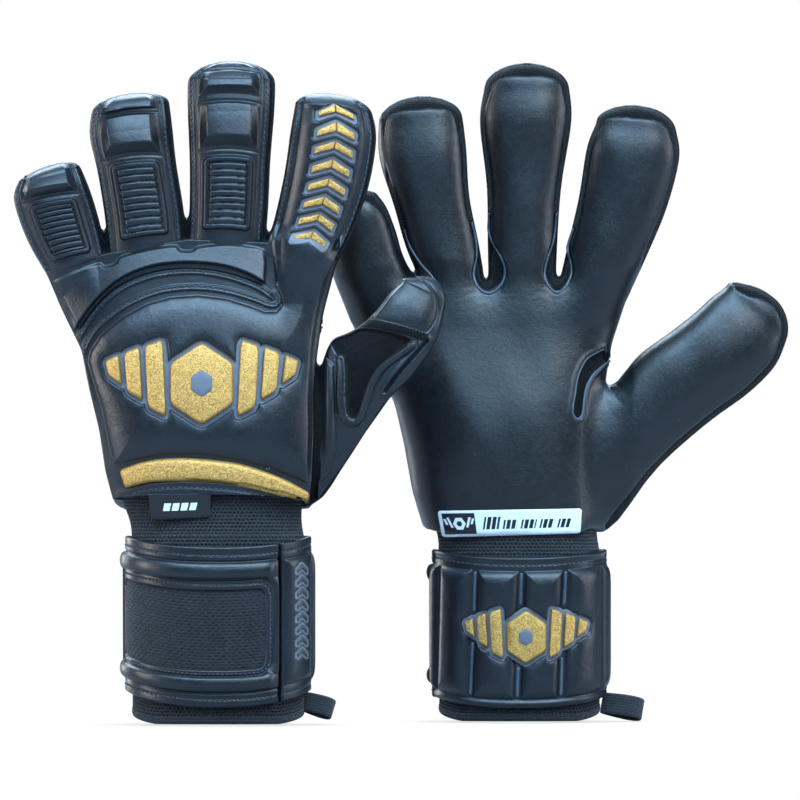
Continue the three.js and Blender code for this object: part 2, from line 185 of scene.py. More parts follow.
def hand_inverse(g, xz):
    """(h, t) of points given in the frame."""
    h = np.full(xz.shape[:-1], 0.5); t = np.full(xz.shape[:-1], 0.5)
    for _ in range(25):
        p = hand_xz(g, h, t); e = 1e-3
        dh = (hand_xz(g, h + e, t) - p) / e; dt = (hand_xz(g, h, t + e) - p) / e
        r = xz - p
        det = dh[..., 0] * dt[..., 1] - dh[..., 1] * dt[..., 0]
        det = np.where(np.abs(det) < 1e-6, 1e-6, det)
        a = (r[..., 0] * dt[..., 1] - r[..., 1] * dt[..., 0]) / det
        b = (dh[..., 0] * r[..., 1] - dh[..., 1] * r[..., 0]) / det
        h = np.clip(h + 0.8 * a, -0.15, 1.15); t = np.clip(t + 0.8 * b, -0.15, 1.1)
    return h, t

# ------------------------------------------------------------------ mesh output
COL = bpy.context.scene.collection
MAT = {}

def make_mesh(name, V, F, mat, attrs=None, normals=None, smooth=True):
    """V in mm; F an int array (n,4), or (n,3), or a list of such arrays."""
    me = bpy.data.meshes.new(name)
    Fs = F if isinstance(F, list) else [F]
    Fs = [np.asarray(f, np.int32) for f in Fs if len(f)]
    me.vertices.add(len(V))
    me.vertices.foreach_set("co", (np.asarray(V, np.float64) / 1000).astype(np.float32).ravel())
    loops = np.concatenate([f.ravel() for f in Fs])
    counts = np.concatenate([np.full(len(f), f.shape[1], np.int32) for f in Fs])
    starts = np.concatenate([[0], np.cumsum(counts)[:-1]]).astype(np.int32)
    me.loops.add(len(loops)); me.loops.foreach_set("vertex_index", loops)
    me.polygons.add(len(counts)); me.polygons.foreach_set("loop_start", starts)
    me.update(calc_edges=True)
    me.polygons.foreach_set("use_smooth", np.full(len(counts), smooth))
    for k, v in (attrs or {}).items():
        at = me.attributes.new(k, "FLOAT", "POINT")
        at.data.foreach_set("value", np.asarray(v, np.float32).ravel())
    if normals is not None:
        me.normals_split_custom_set_from_vertices([tuple(n) for n in normals])
    me.materials.append(MAT[mat])
    o = bpy.data.objects.new(name, me)
    COL.objects.link(o)
    return o

def vnormals(V, Fs):
    N = np.zeros_like(V)
    for f in Fs:
        a, b, c = V[f[:, 0]], V[f[:, 1]], V[f[:, 2]]
        n = np.cross(b - a, c - a)
        if f.shape[1] == 4:
            d = V[f[:, 3]]
            n = np.cross(c - a, d - b) * 0.5
        for k in range(f.shape[1]):
            np.add.at(N, f[:, k], n)
    return N / np.maximum(np.linalg.norm(N, axis=1, keepdims=True), 1e-12)

def volume(V, Fs):
    s = 0.0
    for f in Fs:
        a, b, c = V[f[:, 0]], V[f[:, 1]], V[f[:, 2]]
        s += np.einsum("ij,ij->i", a, np.cross(b, c)).sum()
        if f.shape[1] == 4:
            s += np.einsum("ij,ij->i", a, np.cross(c, V[f[:, 3]])).sum()
    return s

def outward(V, Fs):
    V0 = V - V.mean(0)
    return [f[:, ::-1].copy() for f in Fs] if volume(V0, Fs) < 0 else Fs

def grid_faces(n, m, close_n=False, close_m=False):
    i = np.arange(n if close_n else n - 1); j = np.arange(m if close_m else m - 1)
    I, J = np.meshgrid(i, j, indexing="ij")
    I2, J2 = (I + 1) % n, (J + 1) % m
    return np.stack([I * m + J, I2 * m + J, I2 * m + J2, I * m + J2], -1).reshape(-1, 4)

def slab(top, bottom, keep=12):
    """closed solid from two matching (n,m,3) grids; the underside keeps only some columns. Vertex order: top then underside."""
    n, m = top.shape[:2]
    V = np.vstack([top.reshape(-1, 3), bottom.reshape(-1, 3)])
    k = n * m; e = (n - 1) * m
    cols = np.unique(np.round(np.linspace(0, m - 1, min(m, keep))).astype(int))
    i = np.arange(n - 1); a0, b0 = i * m, (i + 1) * m
    Q = [grid_faces(n, m)[:, ::-1], np.stack([a0, b0, b0 + k, a0 + k], -1),
         np.stack([b0 + m - 1, a0 + m - 1, a0 + m - 1 + k, b0 + m - 1 + k], -1)]
    T = []
    for a, b in zip(cols[:-1], cols[1:]):
        Q.append(np.stack([a0 + a + k, b0 + a + k, b0 + b + k, a0 + b + k], -1))
        j = np.arange(a, b); c = np.full(b - a, a + k)
        T += [np.stack([e + j, e + j + 1, e + c], -1), np.array([[e + b, e + b + k, e + a + k]]),
              np.stack([j + 1, j, c], -1), np.array([[b, a + k, b + k]])]
    Fs = [np.vstack(Q), np.vstack(T)]
    return V, outward(V, Fs)

def shell(outer, inner, rows):
    """closed ring wall from two matching (n,m,3) grids, n running around; the inside keeps only some rows."""
    n, m = outer.shape[:2]
    V = np.vstack([outer.reshape(-1, 3), inner.reshape(-1, 3)]); k = n * m
    i = np.arange(n); i2 = (i + 1) % n
    lo = np.stack([i * m, i2 * m, i2 * m + k, i * m + k], -1); hi = np.stack([i * m + m - 1, i2 * m + m - 1, i2 * m + m - 1 + k, i * m + m - 1 + k], -1)
    Q = [grid_faces(n, m, close_n=True), lo[:, ::-1], hi]
    for a, b in zip(rows[:-1], rows[1:]):
        Q.append(np.stack([i * m + b, i2 * m + b, i2 * m + a, i * m + a], -1) + k)
    return V, outward(V, [np.vstack(Q)])

# ---- which part of a glove a point belongs to
def finger_frame(g, f):
    S = mm(g, L[g][f])                       # (6,2,2)
    M0 = S[0].mean(0); e0 = S[0, 1] - S[0, 0]; e0 /= np.hypot(*e0); n0 = np.array([-e0[1], e0[0]])
    M2 = S[2].mean(0); e2 = S[2, 1] - S[2, 0]; e2 /= np.hypot(*e2); n2 = np.array([-e2[1], e2[0]])
    return dict(M0=M0, n0=n0, e0=e0, M2=M2, n2=n2, e2=e2, len=float(np.hypot(*(M2 - M0))))
FF = {(g, f): finger_frame(g, f) for g in L for f in FINGERS}
def thumb_frame(g):
    S = mm(g, L[g]["thumb"])
    M = S[2].mean(0); e = S[2, 0] - S[2, 1]; e /= np.hypot(*e); n = np.array([e[1], -e[0]])
    return dict(M=M, n=n, e=e)
TF = {g: thumb_frame(g) for g in L}

def place_finger_piece(o, part):
    if part == "A":
        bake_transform(o)
    else:
        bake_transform(o)

def place_thumb_piece(o):
    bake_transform(o)

def subset(V, Fs, masks, attrs, N):
    used = np.zeros(len(V), bool)
    out = []
    for f, m in zip(Fs, masks):
        f = f[m]
        out.append(f); used[f.ravel()] = True
    new = np.cumsum(used) - 1
    out = [new[f] for f in out if len(f)]
    return V[used], out, {k: v[used] for k, v in attrs.items()}, (None if N is None else N[used])

def emit(name, V, Fs, mat, where, attrs=None, replaces=(), smooth=True, islands=None, custom=True):
    """where: ("body", name), ("finger", g, f), ("thumb", g) or ("glove", g). islands: vertex island ids, kept whole."""
    attrs = {k: np.asarray(v).ravel() for k, v in (attrs or {}).items()}
    Fs = [np.asarray(f) for f in (Fs if isinstance(Fs, list) else [Fs]) if len(f)]
    if where[0] == "body":
        V, Fs, attrs, _ = subset(np.asarray(V), Fs, [np.ones(len(f), bool) for f in Fs], attrs, None)
        o = make_mesh(name, V, Fs, mat, attrs, None, smooth)
        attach(o, where[1])
        if replaces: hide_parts(*replaces)
        return [o]
    g = where[1]
    N = vnormals(V, Fs) if (smooth and custom) else None
    cents = []
    for f in Fs:
        c = V[f].mean(1)[:, [0, 2]]
        if islands is not None:
            ids = islands[f[:, 0]]
            k = ids.max() + 1
            cnt = np.bincount(ids, minlength=k)
            cx = np.bincount(ids, c[:, 0], minlength=k) / np.maximum(cnt, 1); cz = np.bincount(ids, c[:, 1], minlength=k) / np.maximum(cnt, 1)
            c = np.stack([cx[ids], cz[ids]], -1)
        cents.append(c)
    made = []
    def part(label, masks, placer):
        if sum(int(m.sum()) for m in masks) == 0: return
        v, fs, at, nn = subset(V, Fs, masks, attrs, N)
        o = make_mesh(f"{name}_{label}" if label else name, v, fs, mat, at, nn, smooth)
        placer(o); made.append(o)
    if where[0] == "finger":
        f_ = where[2]; F = FF[(g, f_)]
        ms = [((c - F["M0"]) @ F["n0"]) < 0.58 * F["len"] for c in cents]
        part("base", ms, lambda o: place_finger_piece(o, "A"))
        part("tip", [~m for m in ms], lambda o: place_finger_piece(o, "B"))
    elif where[0] == "thumb":
        part("", [np.ones(len(c), bool) for c in cents], lambda o: place_thumb_piece(o))
    else:
        taken = [np.zeros(len(c), bool) for c in cents]
        # each finger takes the faces nearest to its own outline
        owner = []
        for c in cents:
            near = np.zeros(len(c), bool)
            for f_ in FINGERS: near |= ((c - FF[(g, f_)]["M0"]) @ FF[(g, f_)]["n0"]) > 0.4
            own = np.full(len(c), -1)
            own[near] = np.argmin(np.stack([sdf(sheet(g, c[near]), finger_outline(g, f_)) for f_ in FINGERS]), 0)
            owner.append(own)
        for fi, f_ in enumerate(FINGERS):
            F = FF[(g, f_)]
            for lab in ("base", "tip"):
                ms = []
                for c, tk, own in zip(cents, taken, owner):
                    s = (c - F["M0"]) @ F["n0"]; a = np.abs((c - F["M0"]) @ F["e0"])
                    m = (s > 0.4) & (a < 17 + 0.30 * s + 4) & ~tk & (own == fi)
                    far = s >= 0.58 * F["len"]
                    ms.append(m & (far if lab == "tip" else ~far))
                part(f"{f_}_{lab}", ms, (lambda o, f_=f_: place_finger_piece(o, "A")) if lab == "base" else (lambda o, f_=f_: place_finger_piece(o, "B")))
                for tk, m in zip(taken, ms): tk |= m
        T = TF[g]
        ms = []
        for c, tk in zip(cents, taken):
            s = (c - T["M"]) @ T["n"]; a = np.abs((c - T["M"]) @ T["e"])
            ms.append((s > -11) & (a < 34) & ~tk)
        part("thumb", ms, lambda o: place_thumb_piece(o))
        for tk, m in zip(taken, ms): tk |= m
        part("hand", [~tk for tk in taken], lambda o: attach(o, f"{g}_hand"))
    if replaces and made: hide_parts(*replaces)
    return made

# ------------------------------------------------------------------ materials
def new_mat(name):
    m = bpy.data.materials.new(name); m.use_nodes = True
    nt = m.node_tree
    b = nt.nodes["Principled BSDF"]
    MAT[name] = m
    return nt, b

class NB:
    """small helper for node trees"""
    def __init__(s, nt):
        s.nt = nt; s.n = nt.nodes; s.l = nt.links
        s.co = s.n.new("ShaderNodeTexCoord").outputs["Object"]
    def lk(s, a, b): s.l.new(a, b)
    def attr(s, name):
        n = s.n.new("ShaderNodeAttribute"); n.attribute_name = name; return n.outputs["Fac"]
    def noise(s, scale, detail=3, rough=0.6, co=None, dist=0.0):
        n = s.n.new("ShaderNodeTexNoise"); n.inputs["Scale"].default_value = scale; n.inputs["Detail"].default_value = detail
        n.inputs["Roughness"].default_value = rough; n.inputs["Distortion"].default_value = dist
        s.lk(co or s.co, n.inputs["Vector"]); return n.outputs["Fac"]
    def voro(s, scale, feature="F1", out="Distance", co=None, rnd=1.0):
        n = s.n.new("ShaderNodeTexVoronoi"); n.feature = feature; n.inputs["Scale"].default_value = scale
        n.inputs["Randomness"].default_value = rnd
        s.lk(co or s.co, n.inputs["Vector"]); return n.outputs[out]
    def math(s, op, a, b=None, c=None, clamp=False):
        n = s.n.new("ShaderNodeMath"); n.operation = op; n.use_clamp = clamp
        for i, v in enumerate((a, b, c)):
            if v is None: continue
            if isinstance(v, (int, float)): n.inputs[i].default_value = v
            else: s.lk(v, n.inputs[i])
        return n.outputs[0]
    def ramp(s, fac, lo, hi, a=0.0, b=1.0, smooth=False):
        n = s.n.new("ShaderNodeMapRange"); n.inputs["From Min"].default_value = lo; n.inputs["From Max"].default_value = hi
        n.inputs["To Min"].default_value = a; n.inputs["To Max"].default_value = b
        if smooth: n.interpolation_type = "SMOOTHSTEP"
        s.lk(fac, n.inputs["Value"]); return n.outputs[0]
    def mix(s, fac, a, b):
        n = s.n.new("ShaderNodeMix"); n.data_type = "RGBA"
        for sock, v in ((n.inputs[0], fac), (n.inputs[6], a), (n.inputs[7], b)):
            if isinstance(v, (int, float)): sock.default_value = v
            elif isinstance(v, tuple): sock.default_value = (*v, 1.0)
            else: s.lk(v, sock)
        return n.outputs[2]
    def bump(s, h, strength, dist, normal=None):
        n = s.n.new("ShaderNodeBump"); n.inputs["Strength"].default_value = strength; n.inputs["Distance"].default_value = dist
        s.lk(h, n.inputs["Height"])
        if normal is not None: s.lk(normal, n.inputs["Normal"])
        return n.outputs[0]
    def sep(s, v=None):
        n = s.n.new("ShaderNodeSeparateXYZ"); s.lk(v or s.co, n.inputs[0]); return n.outputs
    def mapping(s, scale=(1, 1, 1), rot=(0, 0, 0)):
        n = s.n.new("ShaderNodeMapping"); n.inputs["Scale"].default_value = scale; n.inputs["Rotation"].default_value = rot
        s.lk(s.co, n.inputs["Vector"]); return n.outputs[0]

def latex(name, col, col2, rough, knit_attr=None, slate_attr=None):
    nt, b = new_mat(name); q = NB(nt)
    cloud = q.noise(38, 3, 0.6)
    base = q.mix(q.ramp(cloud, 0.35, 0.7), col, col2)
    grain = q.noise(2600, 3, 0.65)
    pores = q.voro(1500, "F1")
    fine = q.noise(420, 4, 0.62)
    r = q.math("ADD", q.ramp(fine, 0.3, 0.7, rough - 0.05, rough + 0.07), q.ramp(cloud, 0.3, 0.7, -0.03, 0.04))
    dust = q.math("GREATER_THAN", q.noise(900, 1, 0.4), 0.80)
    base = q.mix(q.math("MULTIPLY", dust, 0.25), base, (0.25, 0.27, 0.3))
    n1 = q.bump(grain, 0.22, 0.00022)
    n1 = q.bump(pores, 0.16, 0.00022, n1)
    n1 = q.bump(fine, 0.22, 0.0006, n1)
    wr = q.noise(70, 4, 0.5, dist=0.4)
    n1 = q.bump(wr, 0.035, 0.0035, n1)
    if slate_attr:
        f = q.ramp(q.attr(slate_attr), 0.42, 0.58)
        base = q.mix(f, base, q.mix(q.ramp(fine, 0.3, 0.7), (0.115, 0.130, 0.160), (0.155, 0.170, 0.205)))
        r = q.math("ADD", r, q.math("MULTIPLY", f, 0.06))
    if knit_attr:
        f = q.ramp(q.attr(knit_attr), 0.45, 0.55)
        wv = q.voro(1150, "F1", rnd=0.25)
        base = q.mix(f, base, q.mix(q.ramp(wv, 0.1, 0.6), (0.0055, 0.006, 0.007), (0.0015, 0.0015, 0.002)))
        r = q.math("ADD", r, q.math("MULTIPLY", f, 0.45), clamp=True)
        hk = q.math("MULTIPLY", wv, q.math("MULTIPLY", f, -1.0))
        n1 = q.bump(hk, 0.6, 0.0007, n1)
        q.lk(q.math("MULTIPLY", f, 0.06), b.inputs["Sheen Weight"])
        q.lk(q.ramp(f, 0.0, 1.0, 0.55, 0.16), b.inputs["Specular IOR Level"])
        coat_src = q.ramp(f, 0.0, 1.0, 0.12, 0.0)
    q.lk(base, b.inputs["Base Color"]); q.lk(r, b.inputs["Roughness"]); q.lk(n1, b.inputs["Normal"])
    b.inputs["Specular IOR Level"].default_value = 0.55
    b.inputs["Coat Weight"].default_value = 0.12; b.inputs["Coat Roughness"].default_value = 0.32
    if knit_attr: q.lk(coat_src, b.inputs["Coat Weight"])
    return b

latex("palm_latex", (0.0040, 0.0050, 0.0062), (0.0062, 0.0082, 0.0105), 0.34, knit_attr="band")
latex("back_latex", (0.0048, 0.0066, 0.0095), (0.0074, 0.0106, 0.0155), 0.33, knit_attr="band", slate_attr="slate")
latex("edge_latex", (0.045, 0.064, 0.088), (0.07, 0.095, 0.125), 0.42)

def fabric(name, col, col2, scale, rough=0.85, kind="knit"):
    nt, b = new_mat(name); q = NB(nt)
    if kind == "mesh":
        v = q.voro(scale, "F1", co=q.mapping((1.0, 0.6, 1.5)), rnd=0.35)
        h = q.ramp(v, 0.12, 0.6, 0.0, 1.0)
        base = q.mix(h, (0.0015, 0.0016, 0.002), col2)
        strength, dist = 0.8, 0.0007
    else:
        v = q.voro(scale, "F1", rnd=0.6)
        h = q.math("SUBTRACT", 1.0, v)
        base = q.mix(q.ramp(v, 0.1, 0.7), col2, col)
        strength, dist = 0.7, 0.0005
    fuzz = q.noise(3200, 2, 0.7)
    base = q.mix(q.math("MULTIPLY", q.ramp(q.noise(60, 3), 0.35, 0.7), 0.5), base, col2)
    n1 = q.bump(h, strength, dist); n1 = q.bump(fuzz, 0.35, 0.00025, n1)
    q.lk(base, b.inputs["Base Color"]); q.lk(n1, b.inputs["Normal"])
    q.lk(q.ramp(fuzz, 0.2, 0.8, rough - 0.1, rough + 0.1), b.inputs["Roughness"])
    b.inputs["Sheen Weight"].default_value = 0.25; b.inputs["Sheen Roughness"].default_value = 0.45
    b.inputs["Specular IOR Level"].default_value = 0.3
    return b

fabric("rib_knit", (0.010, 0.011, 0.013), (0.028, 0.030, 0.034), 2600)
fabric("air_mesh", (0.006, 0.007, 0.009), (0.017, 0.020, 0.026), 820, kind="mesh")
fabric("strap_mesh", (0.012, 0.0125, 0.015), (0.032, 0.033, 0.039), 2600)
fabric("webbing", (0.006, 0.007, 0.009), (0.016, 0.019, 0.024), 3400, rough=0.5)
fabric("hook_tape", (0.004, 0.004, 0.005), (0.012, 0.012, 0.014), 1100, rough=0.6)
fabric("thread", (0.030, 0.036, 0.046), (0.075, 0.090, 0.115), 2600, rough=0.5)

nt, b = new_mat("gold_print"); q = NB(nt)
fl = q.voro(2300, "F1", "Color"); flv = q.sep(fl)[0]
cl = q.noise(160, 4, 0.7)
c = q.mix(flv, (0.38, 0.19, 0.040), (0.98, 0.57, 0.17))
c = q.mix(q.ramp(cl, 0.35, 0.7, 0.0, 0.5), c, (0.58, 0.31, 0.070))
c = q.mix(q.math("MULTIPLY", q.attr("shade"), 0.75), c, (0.21, 0.105, 0.020))
q.lk(c, b.inputs["Base Color"])
b.inputs["Metallic"].default_value = 0.55
q.lk(q.ramp(flv, 0.0, 1.0, 0.36, 0.56), b.inputs["Roughness"])
n1 = q.bump(flv, 0.35, 0.0003); n1 = q.bump(q.noise(900, 4, 0.7), 0.5, 0.0005, n1)
q.lk(n1, b.inputs["Normal"])

nt, b = new_mat("slate_print"); q = NB(nt)
f = q.noise(300, 3)
q.lk(q.mix(f, (0.115, 0.130, 0.160), (0.155, 0.170, 0.205)), b.inputs["Base Color"])
b.inputs["Roughness"].default_value = 0.5
q.lk(q.bump(q.noise(1500, 3), 0.3, 0.0003), b.inputs["Normal"])

nt, b = new_mat("muted_print"); q = NB(nt)
q.lk(q.mix(q.noise(700, 3), (0.045, 0.043, 0.045), (0.085, 0.072, 0.055)), b.inputs["Base Color"])
b.inputs["Roughness"].default_value = 0.55
q.lk(q.bump(q.noise(1500, 3), 0.3, 0.0003), b.inputs["Normal"])

nt, b = new_mat("white_label"); q = NB(nt)
ink = q.ramp(q.attr("ink"), 0.45, 0.55)
wear = q.noise(220, 4, 0.7)
white = q.mix(q.ramp(wear, 0.3, 0.75), (0.76, 0.81, 0.86), (0.88, 0.90, 0.91))
q.lk(q.mix(ink, white, (0.006, 0.007, 0.009)), b.inputs["Base Color"])
q.lk(q.ramp(wear, 0.3, 0.7, 0.32, 0.45), b.inputs["Roughness"])
q.lk(q.bump(q.noise(1200, 3), 0.25, 0.0003), b.inputs["Normal"])
b.inputs["Coat Weight"].default_value = 0.2

# ------------------------------------------------------------------ base body of each glove
def tube(C, X, b, d_sign=1.0, n=40, m=2.5, y=0.0, dcen=None):
    """rings: C (k,2) centre xz, X (k,2) half-width vector xz, b (k,) half depth. Closed with fan caps."""
    k = len(C)
    q = np.linspace(0, 2 * math.pi, n, endpoint=False)
    c, s = se(np.cos(q), m), se(np.sin(q), m)
    xz = C[:, None, :] + X[:, None, :] * c[None, :, None]
    d = b[:, None] * s[None, :] + (0 if dcen is None else dcen[:, None])
    V = np.stack([xz[..., 0], d, xz[..., 1]], -1).reshape(-1, 3)
    ends = np.array([V[:n].mean(0), V[-n:].mean(0)])
    V = np.vstack([V, ends])
    F = grid_faces(k, n, close_m=True)
    j = np.arange(n)
    cap0 = np.stack([np.full(n, k * n), j, (j + 1) % n], -1)
    cap1 = np.stack([np.full(n, k * n + 1), (k - 1) * n + (j + 1) % n, (k - 1) * n + j], -1)
    return V, F, np.vstack([cap0, cap1])

def with_cap(S, b, cap=None, bend=None):
    """replaces the last outline pair by rows that close the tip along an ellipse through it"""
    c2, c1 = S[-2].mean(0), S[-1].mean(0)
    h2, h1 = (S[-2, 1] - S[-2, 0]) / 2, (S[-1, 1] - S[-1, 0]) / 2
    a1 = math.acos(min(np.hypot(*h1) / np.hypot(*h2), 0.98))
    rows, bs = [], []
    for a in np.concatenate([a1 * np.array([0.28, 0.52, 0.76, 1.0]), a1 + (math.radians(88) - a1) * np.array([0.3, 0.6, 0.85, 1.0])]):
        c = c2 + (c1 - c2) * math.sin(a) / math.sin(a1)
        q = min(a / a1, 1.0)
        hv = h2 / np.hypot(*h2) * (1 - q) + h1 / np.hypot(*h1) * q
        hv = hv / np.hypot(*hv) * np.hypot(*h2) * math.cos(a)
        rows.append([c - hv, c + hv]); bs.append(b[-2] * max(math.cos(a), 0.04) ** 0.8)
    return np.concatenate([S[:-1], np.array(rows)]), np.concatenate([b[:-1], bs])

def finger_rings(g, f, n, tau0=-0.55):
    S = mm(g, L[g][f])
    S = np.concatenate([S[:1] + (S[:1] - S[1:2]) * 0.6, S])
    S, b = with_cap(S, np.array([12.0] + FD))
    t = np.linspace(0.2, len(S) - 1, n)
    P = catmull(S.reshape(len(S), 4), t).reshape(-1, 2, 2)
    return P.mean(1), (P[:, 1] - P[:, 0]) / 2, catmull(b[:, None], t)[:, 0]

def base_body(g):
    parts = []
    h = np.array([0.0, 0.5, 1.0])
    ts = np.linspace(0, 1, 26); n = 72
    q = np.linspace(0, 2 * math.pi, n, endpoint=False)
    rows = []
    for t in ts:
        bd = hand_b(t) * (1 - 0.0 * t)
        u = se(np.cos(q), 2.5) * 0.985; d = se(np.sin(q), 2.5) * bd
        xz = hand_xz(g, (u + 1) / 2, np.full(n, t))
        side = np.where(d < 0, HANDZ[g][0], HANDZ[g][1])
        bot = np.interp((u + 1) / 2, [0, 1], [mm(g, L[g]["left"][0])[1], mm(g, L[g]["right"][0])[1]])
        xz[:, 1] += (1 - t) ** 2 * (side - bot) * np.minimum(np.abs(d) / bd, 1)
        rows.append(np.stack([xz[:, 0], d, xz[:, 1]], -1))
    bd = hand_b(1.0); top = rows[-1].copy(); top[:, 1] *= 0.5; top[:, 2] += 2.5
    rows.append(top)
    V = np.array(rows).reshape(-1, 3); k = len(rows)
    ends = np.array([V[:n].mean(0), V[-n:].mean(0)])
    j = np.arange(n)
    F = grid_faces(k, n, close_m=True)
    caps = np.vstack([np.stack([np.full(n, k * n), j, (j + 1) % n], -1), np.stack([np.full(n, k * n + 1), (k - 1) * n + (j + 1) % n, (k - 1) * n + j], -1)])
    parts.append((np.vstack([V, ends]), F, caps))
    for f in FINGERS:
        C, X, b = finger_rings(g, f, 48)
        parts.append(tube(C, X, b, n=44, m=2.35))
    S = mm(g, L[g]["thumb"])
    inn = S[:1].copy(); inn[0, :, 0] -= 14
    S, b = with_cap(np.concatenate([inn, S]), np.array([13.0] + TD))
    t = np.linspace(0, len(S) - 1, 48)
    P = catmull(S.reshape(len(S), 4), t).reshape(-1, 2, 2)
    parts.append(tube(P.mean(1), (P[:, 1] - P[:, 0]) / 2, catmull(b[:, None], t)[:, 0], n=44, m=2.4))
    Vs, Qs, Ts, off = [], [], [], 0
    for V, F, T in parts:
        V = V.copy(); V[:, 1] = Y0[g] + OFFY + PALM[g] * V[:, 1]
        vol = volume(V - V.mean(0), [F, T])
        if vol < 0: F, T = F[:, ::-1], T[:, ::-1]
        Vs.append(V); Qs.append(F + off); Ts.append(T + off); off += len(V)
    o = make_mesh("tmp", np.vstack(Vs), [np.vstack(Qs), np.vstack(Ts)], "palm_latex")
    m = o.modifiers.new("r", "REMESH"); m.mode = "VOXEL"; m.voxel_size = 0.00095 * RES; m.use_smooth_shade = True
    s = o.modifiers.new("s", "SMOOTH"); s.factor = 0.5; s.iterations = int(14 / RES)
    dg = bpy.context.evaluated_depsgraph_get()
    ev = o.evaluated_get(dg); me = ev.to_mesh()
    V = np.zeros(len(me.vertices) * 3); me.vertices.foreach_get("co", V); V = V.reshape(-1, 3) * 1000
    nl = len(me.loops); vi = np.zeros(nl, np.int32); me.loops.foreach_get("vertex_index", vi)
    st = np.zeros(len(me.polygons), np.int32); me.polygons.foreach_get("loop_start", st)
    ct = np.zeros(len(me.polygons), np.int32); me.polygons.foreach_get("loop_total", ct)
    Q = np.stack([vi[st[ct == 4] + k] for k in range(4)], -1)
    T = np.stack([vi[st[ct == 3] + k] for k in range(3)], -1) if (ct == 3).any() else np.zeros((0, 3), np.int32)
    ev.to_mesh_clear()
    bpy.data.objects.remove(o)
    return V, [f for f in (Q, T) if len(f)]

class Field:
    """depth of a surface seen along Y, sampled on a raster for bilinear reading."""
    def __init__(s, V, Fs, g, side):
        polys = [list(map(int, r)) for f in Fs for r in f]
        tree = BVHTree.FromPolygons([Vector(v) for v in V], polys)
        s.x0, s.z0 = V[:, 0].min() - 2, V[:, 2].min() - 2
        s.step = 0.9
        nx = int((V[:, 0].max() + 2 - s.x0) / s.step) + 1; nz = int((V[:, 2].max() + 2 - s.z0) / s.step) + 1
        y0 = Y0[g] + OFFY
        sgn = PALM[g] * (1 if side == "palm" else -1)
        D = np.full((nx, nz), np.nan)
        dirv = Vector((0, -sgn, 0))
        for i in range(nx):
            for j in range(nz):
                hit = tree.ray_cast(Vector((s.x0 + i * s.step, y0 + sgn * 80, s.z0 + j * s.step)), dirv)
                if hit[0] is not None:
                    D[i, j] = (hit[0].y - y0) * sgn
        for _ in range(6):
            nan = np.isnan(D)
            if not nan.any(): break
            P = np.pad(D, 1, constant_values=np.nan)
            st = np.stack([P[1 + a:1 + a + D.shape[0], 1 + b_:1 + b_ + D.shape[1]] for a in (-1, 0, 1) for b_ in (-1, 0, 1)])
            with np.errstate(all="ignore"):
                import warnings
                with warnings.catch_warnings():
                    warnings.simplefilter("ignore"); mean = np.nanmean(st, 0)
            D = np.where(nan, mean - 0.8, D)
        s.D = np.nan_to_num(D, nan=-4.0)
    def __call__(s, xz):
        fx = np.clip((xz[..., 0] - s.x0) / s.step, 0, s.D.shape[0] - 1.001); fz = np.clip((xz[..., 1] - s.z0) / s.step, 0, s.D.shape[1] - 1.001)
        i, j = fx.astype(int), fz.astype(int); a, b_ = fx - i, fz - j
        D = s.D
        return D[i, j] * (1 - a) * (1 - b_) + D[i + 1, j] * a * (1 - b_) + D[i, j + 1] * (1 - a) * b_ + D[i + 1, j + 1] * a * b_

# ------------------------------------------------------------------ back-of-hand mapping and relief (left sheet coordinates)
def back_xz(g, h, t):
    u = np.clip(np.abs(2 * h - 1), 0, 1)
    share = (1 - u ** 2.5) ** 0.4
    p = hand_xz(g, h, t)
    bot = mm(g, L[g]["left"][0])[1] + (mm(g, L[g]["right"][0])[1] - mm(g, L[g]["left"][0])[1]) * h
    p[..., 1] += (1 - t) ** 2 * (HANDZ[g][0] - bot) * share
    return p

def invert(fn, g, xz):
    h = np.full(xz.shape[:-1], 0.5); t = np.full(xz.shape[:-1], 0.5)
    for _ in range(30):
        p = fn(g, h, t); e = 1e-3
        dh = (fn(g, h + e, t) - p) / e; dt = (fn(g, h, t + e) - p) / e
        r = xz - p
        det = dh[..., 0] * dt[..., 1] - dh[..., 1] * dt[..., 0]
        det = np.where(np.abs(det) < 1e-6, 1e-6, det)
        h = np.clip(h + 0.75 * (r[..., 0] * dt[..., 1] - r[..., 1] * dt[..., 0]) / det, -0.1, 1.1)
        t = np.clip(t + 0.75 * (dh[..., 0] * r[..., 1] - dh[..., 1] * r[..., 0]) / det, -0.1, 1.15)
    return h, t

FL1 = smooth_poly([(80,337),(84,330),(100,308),(120,290),(145,278.5),(169,273),(199,272),(228,276.5),(256,286),(272,296),(276,300)], 60)
FL2 = smooth_poly([(83,352),(96,330),(120,309.5),(145,296.5),(169,289.5),(199,287.5),(228,291),(254,298.5),(270,304.5),(277,304),(278,299),(275,294)], 60)
KBOT = smooth_poly([(78,331),(86,318),(101,299),(121,282),(145,271),(169,266),(199,265),(228,269),(248,276),(263,284)], 50)
KPOLY = np.vstack([smooth_poly([(40,284),(55,280),(75,271),(100,262.5),(106,266),(116,263),(122,256),(150,248.5),(176,245),(182,250),(193,250),(200,246),(230,243.5),(258,247),(266,250)], 60),
                   [(268,262),(267,284)], KBOT[::-1], [(60,330),(40,300)]])
PAD = np.array([(279,298),(275,286),(273,268),(271,246),(272,215),(355,228),(341,262),(331,292),(325,318),(320,345),(319,380),(319,410),(321,440),(326,468),(324,490),
                (318,491),(300,482),(270,470),(240,462),(205,456.5),(165,456.5),(126,464),(114,466),(108,440),(102,410),(94,385),(87,362),
                (90,350),(100,334.5),(123,315.5),(148,302),(172,295.5),(199,293.5),(228,297),(252,304.5),(266,310),(276,310),(281,304)], float)
BAND = smooth_poly([(124,479),(150,471.5),(179,469.5),(210,471),(240,475),(270,483),(293,491.5),(313,500)], 60)
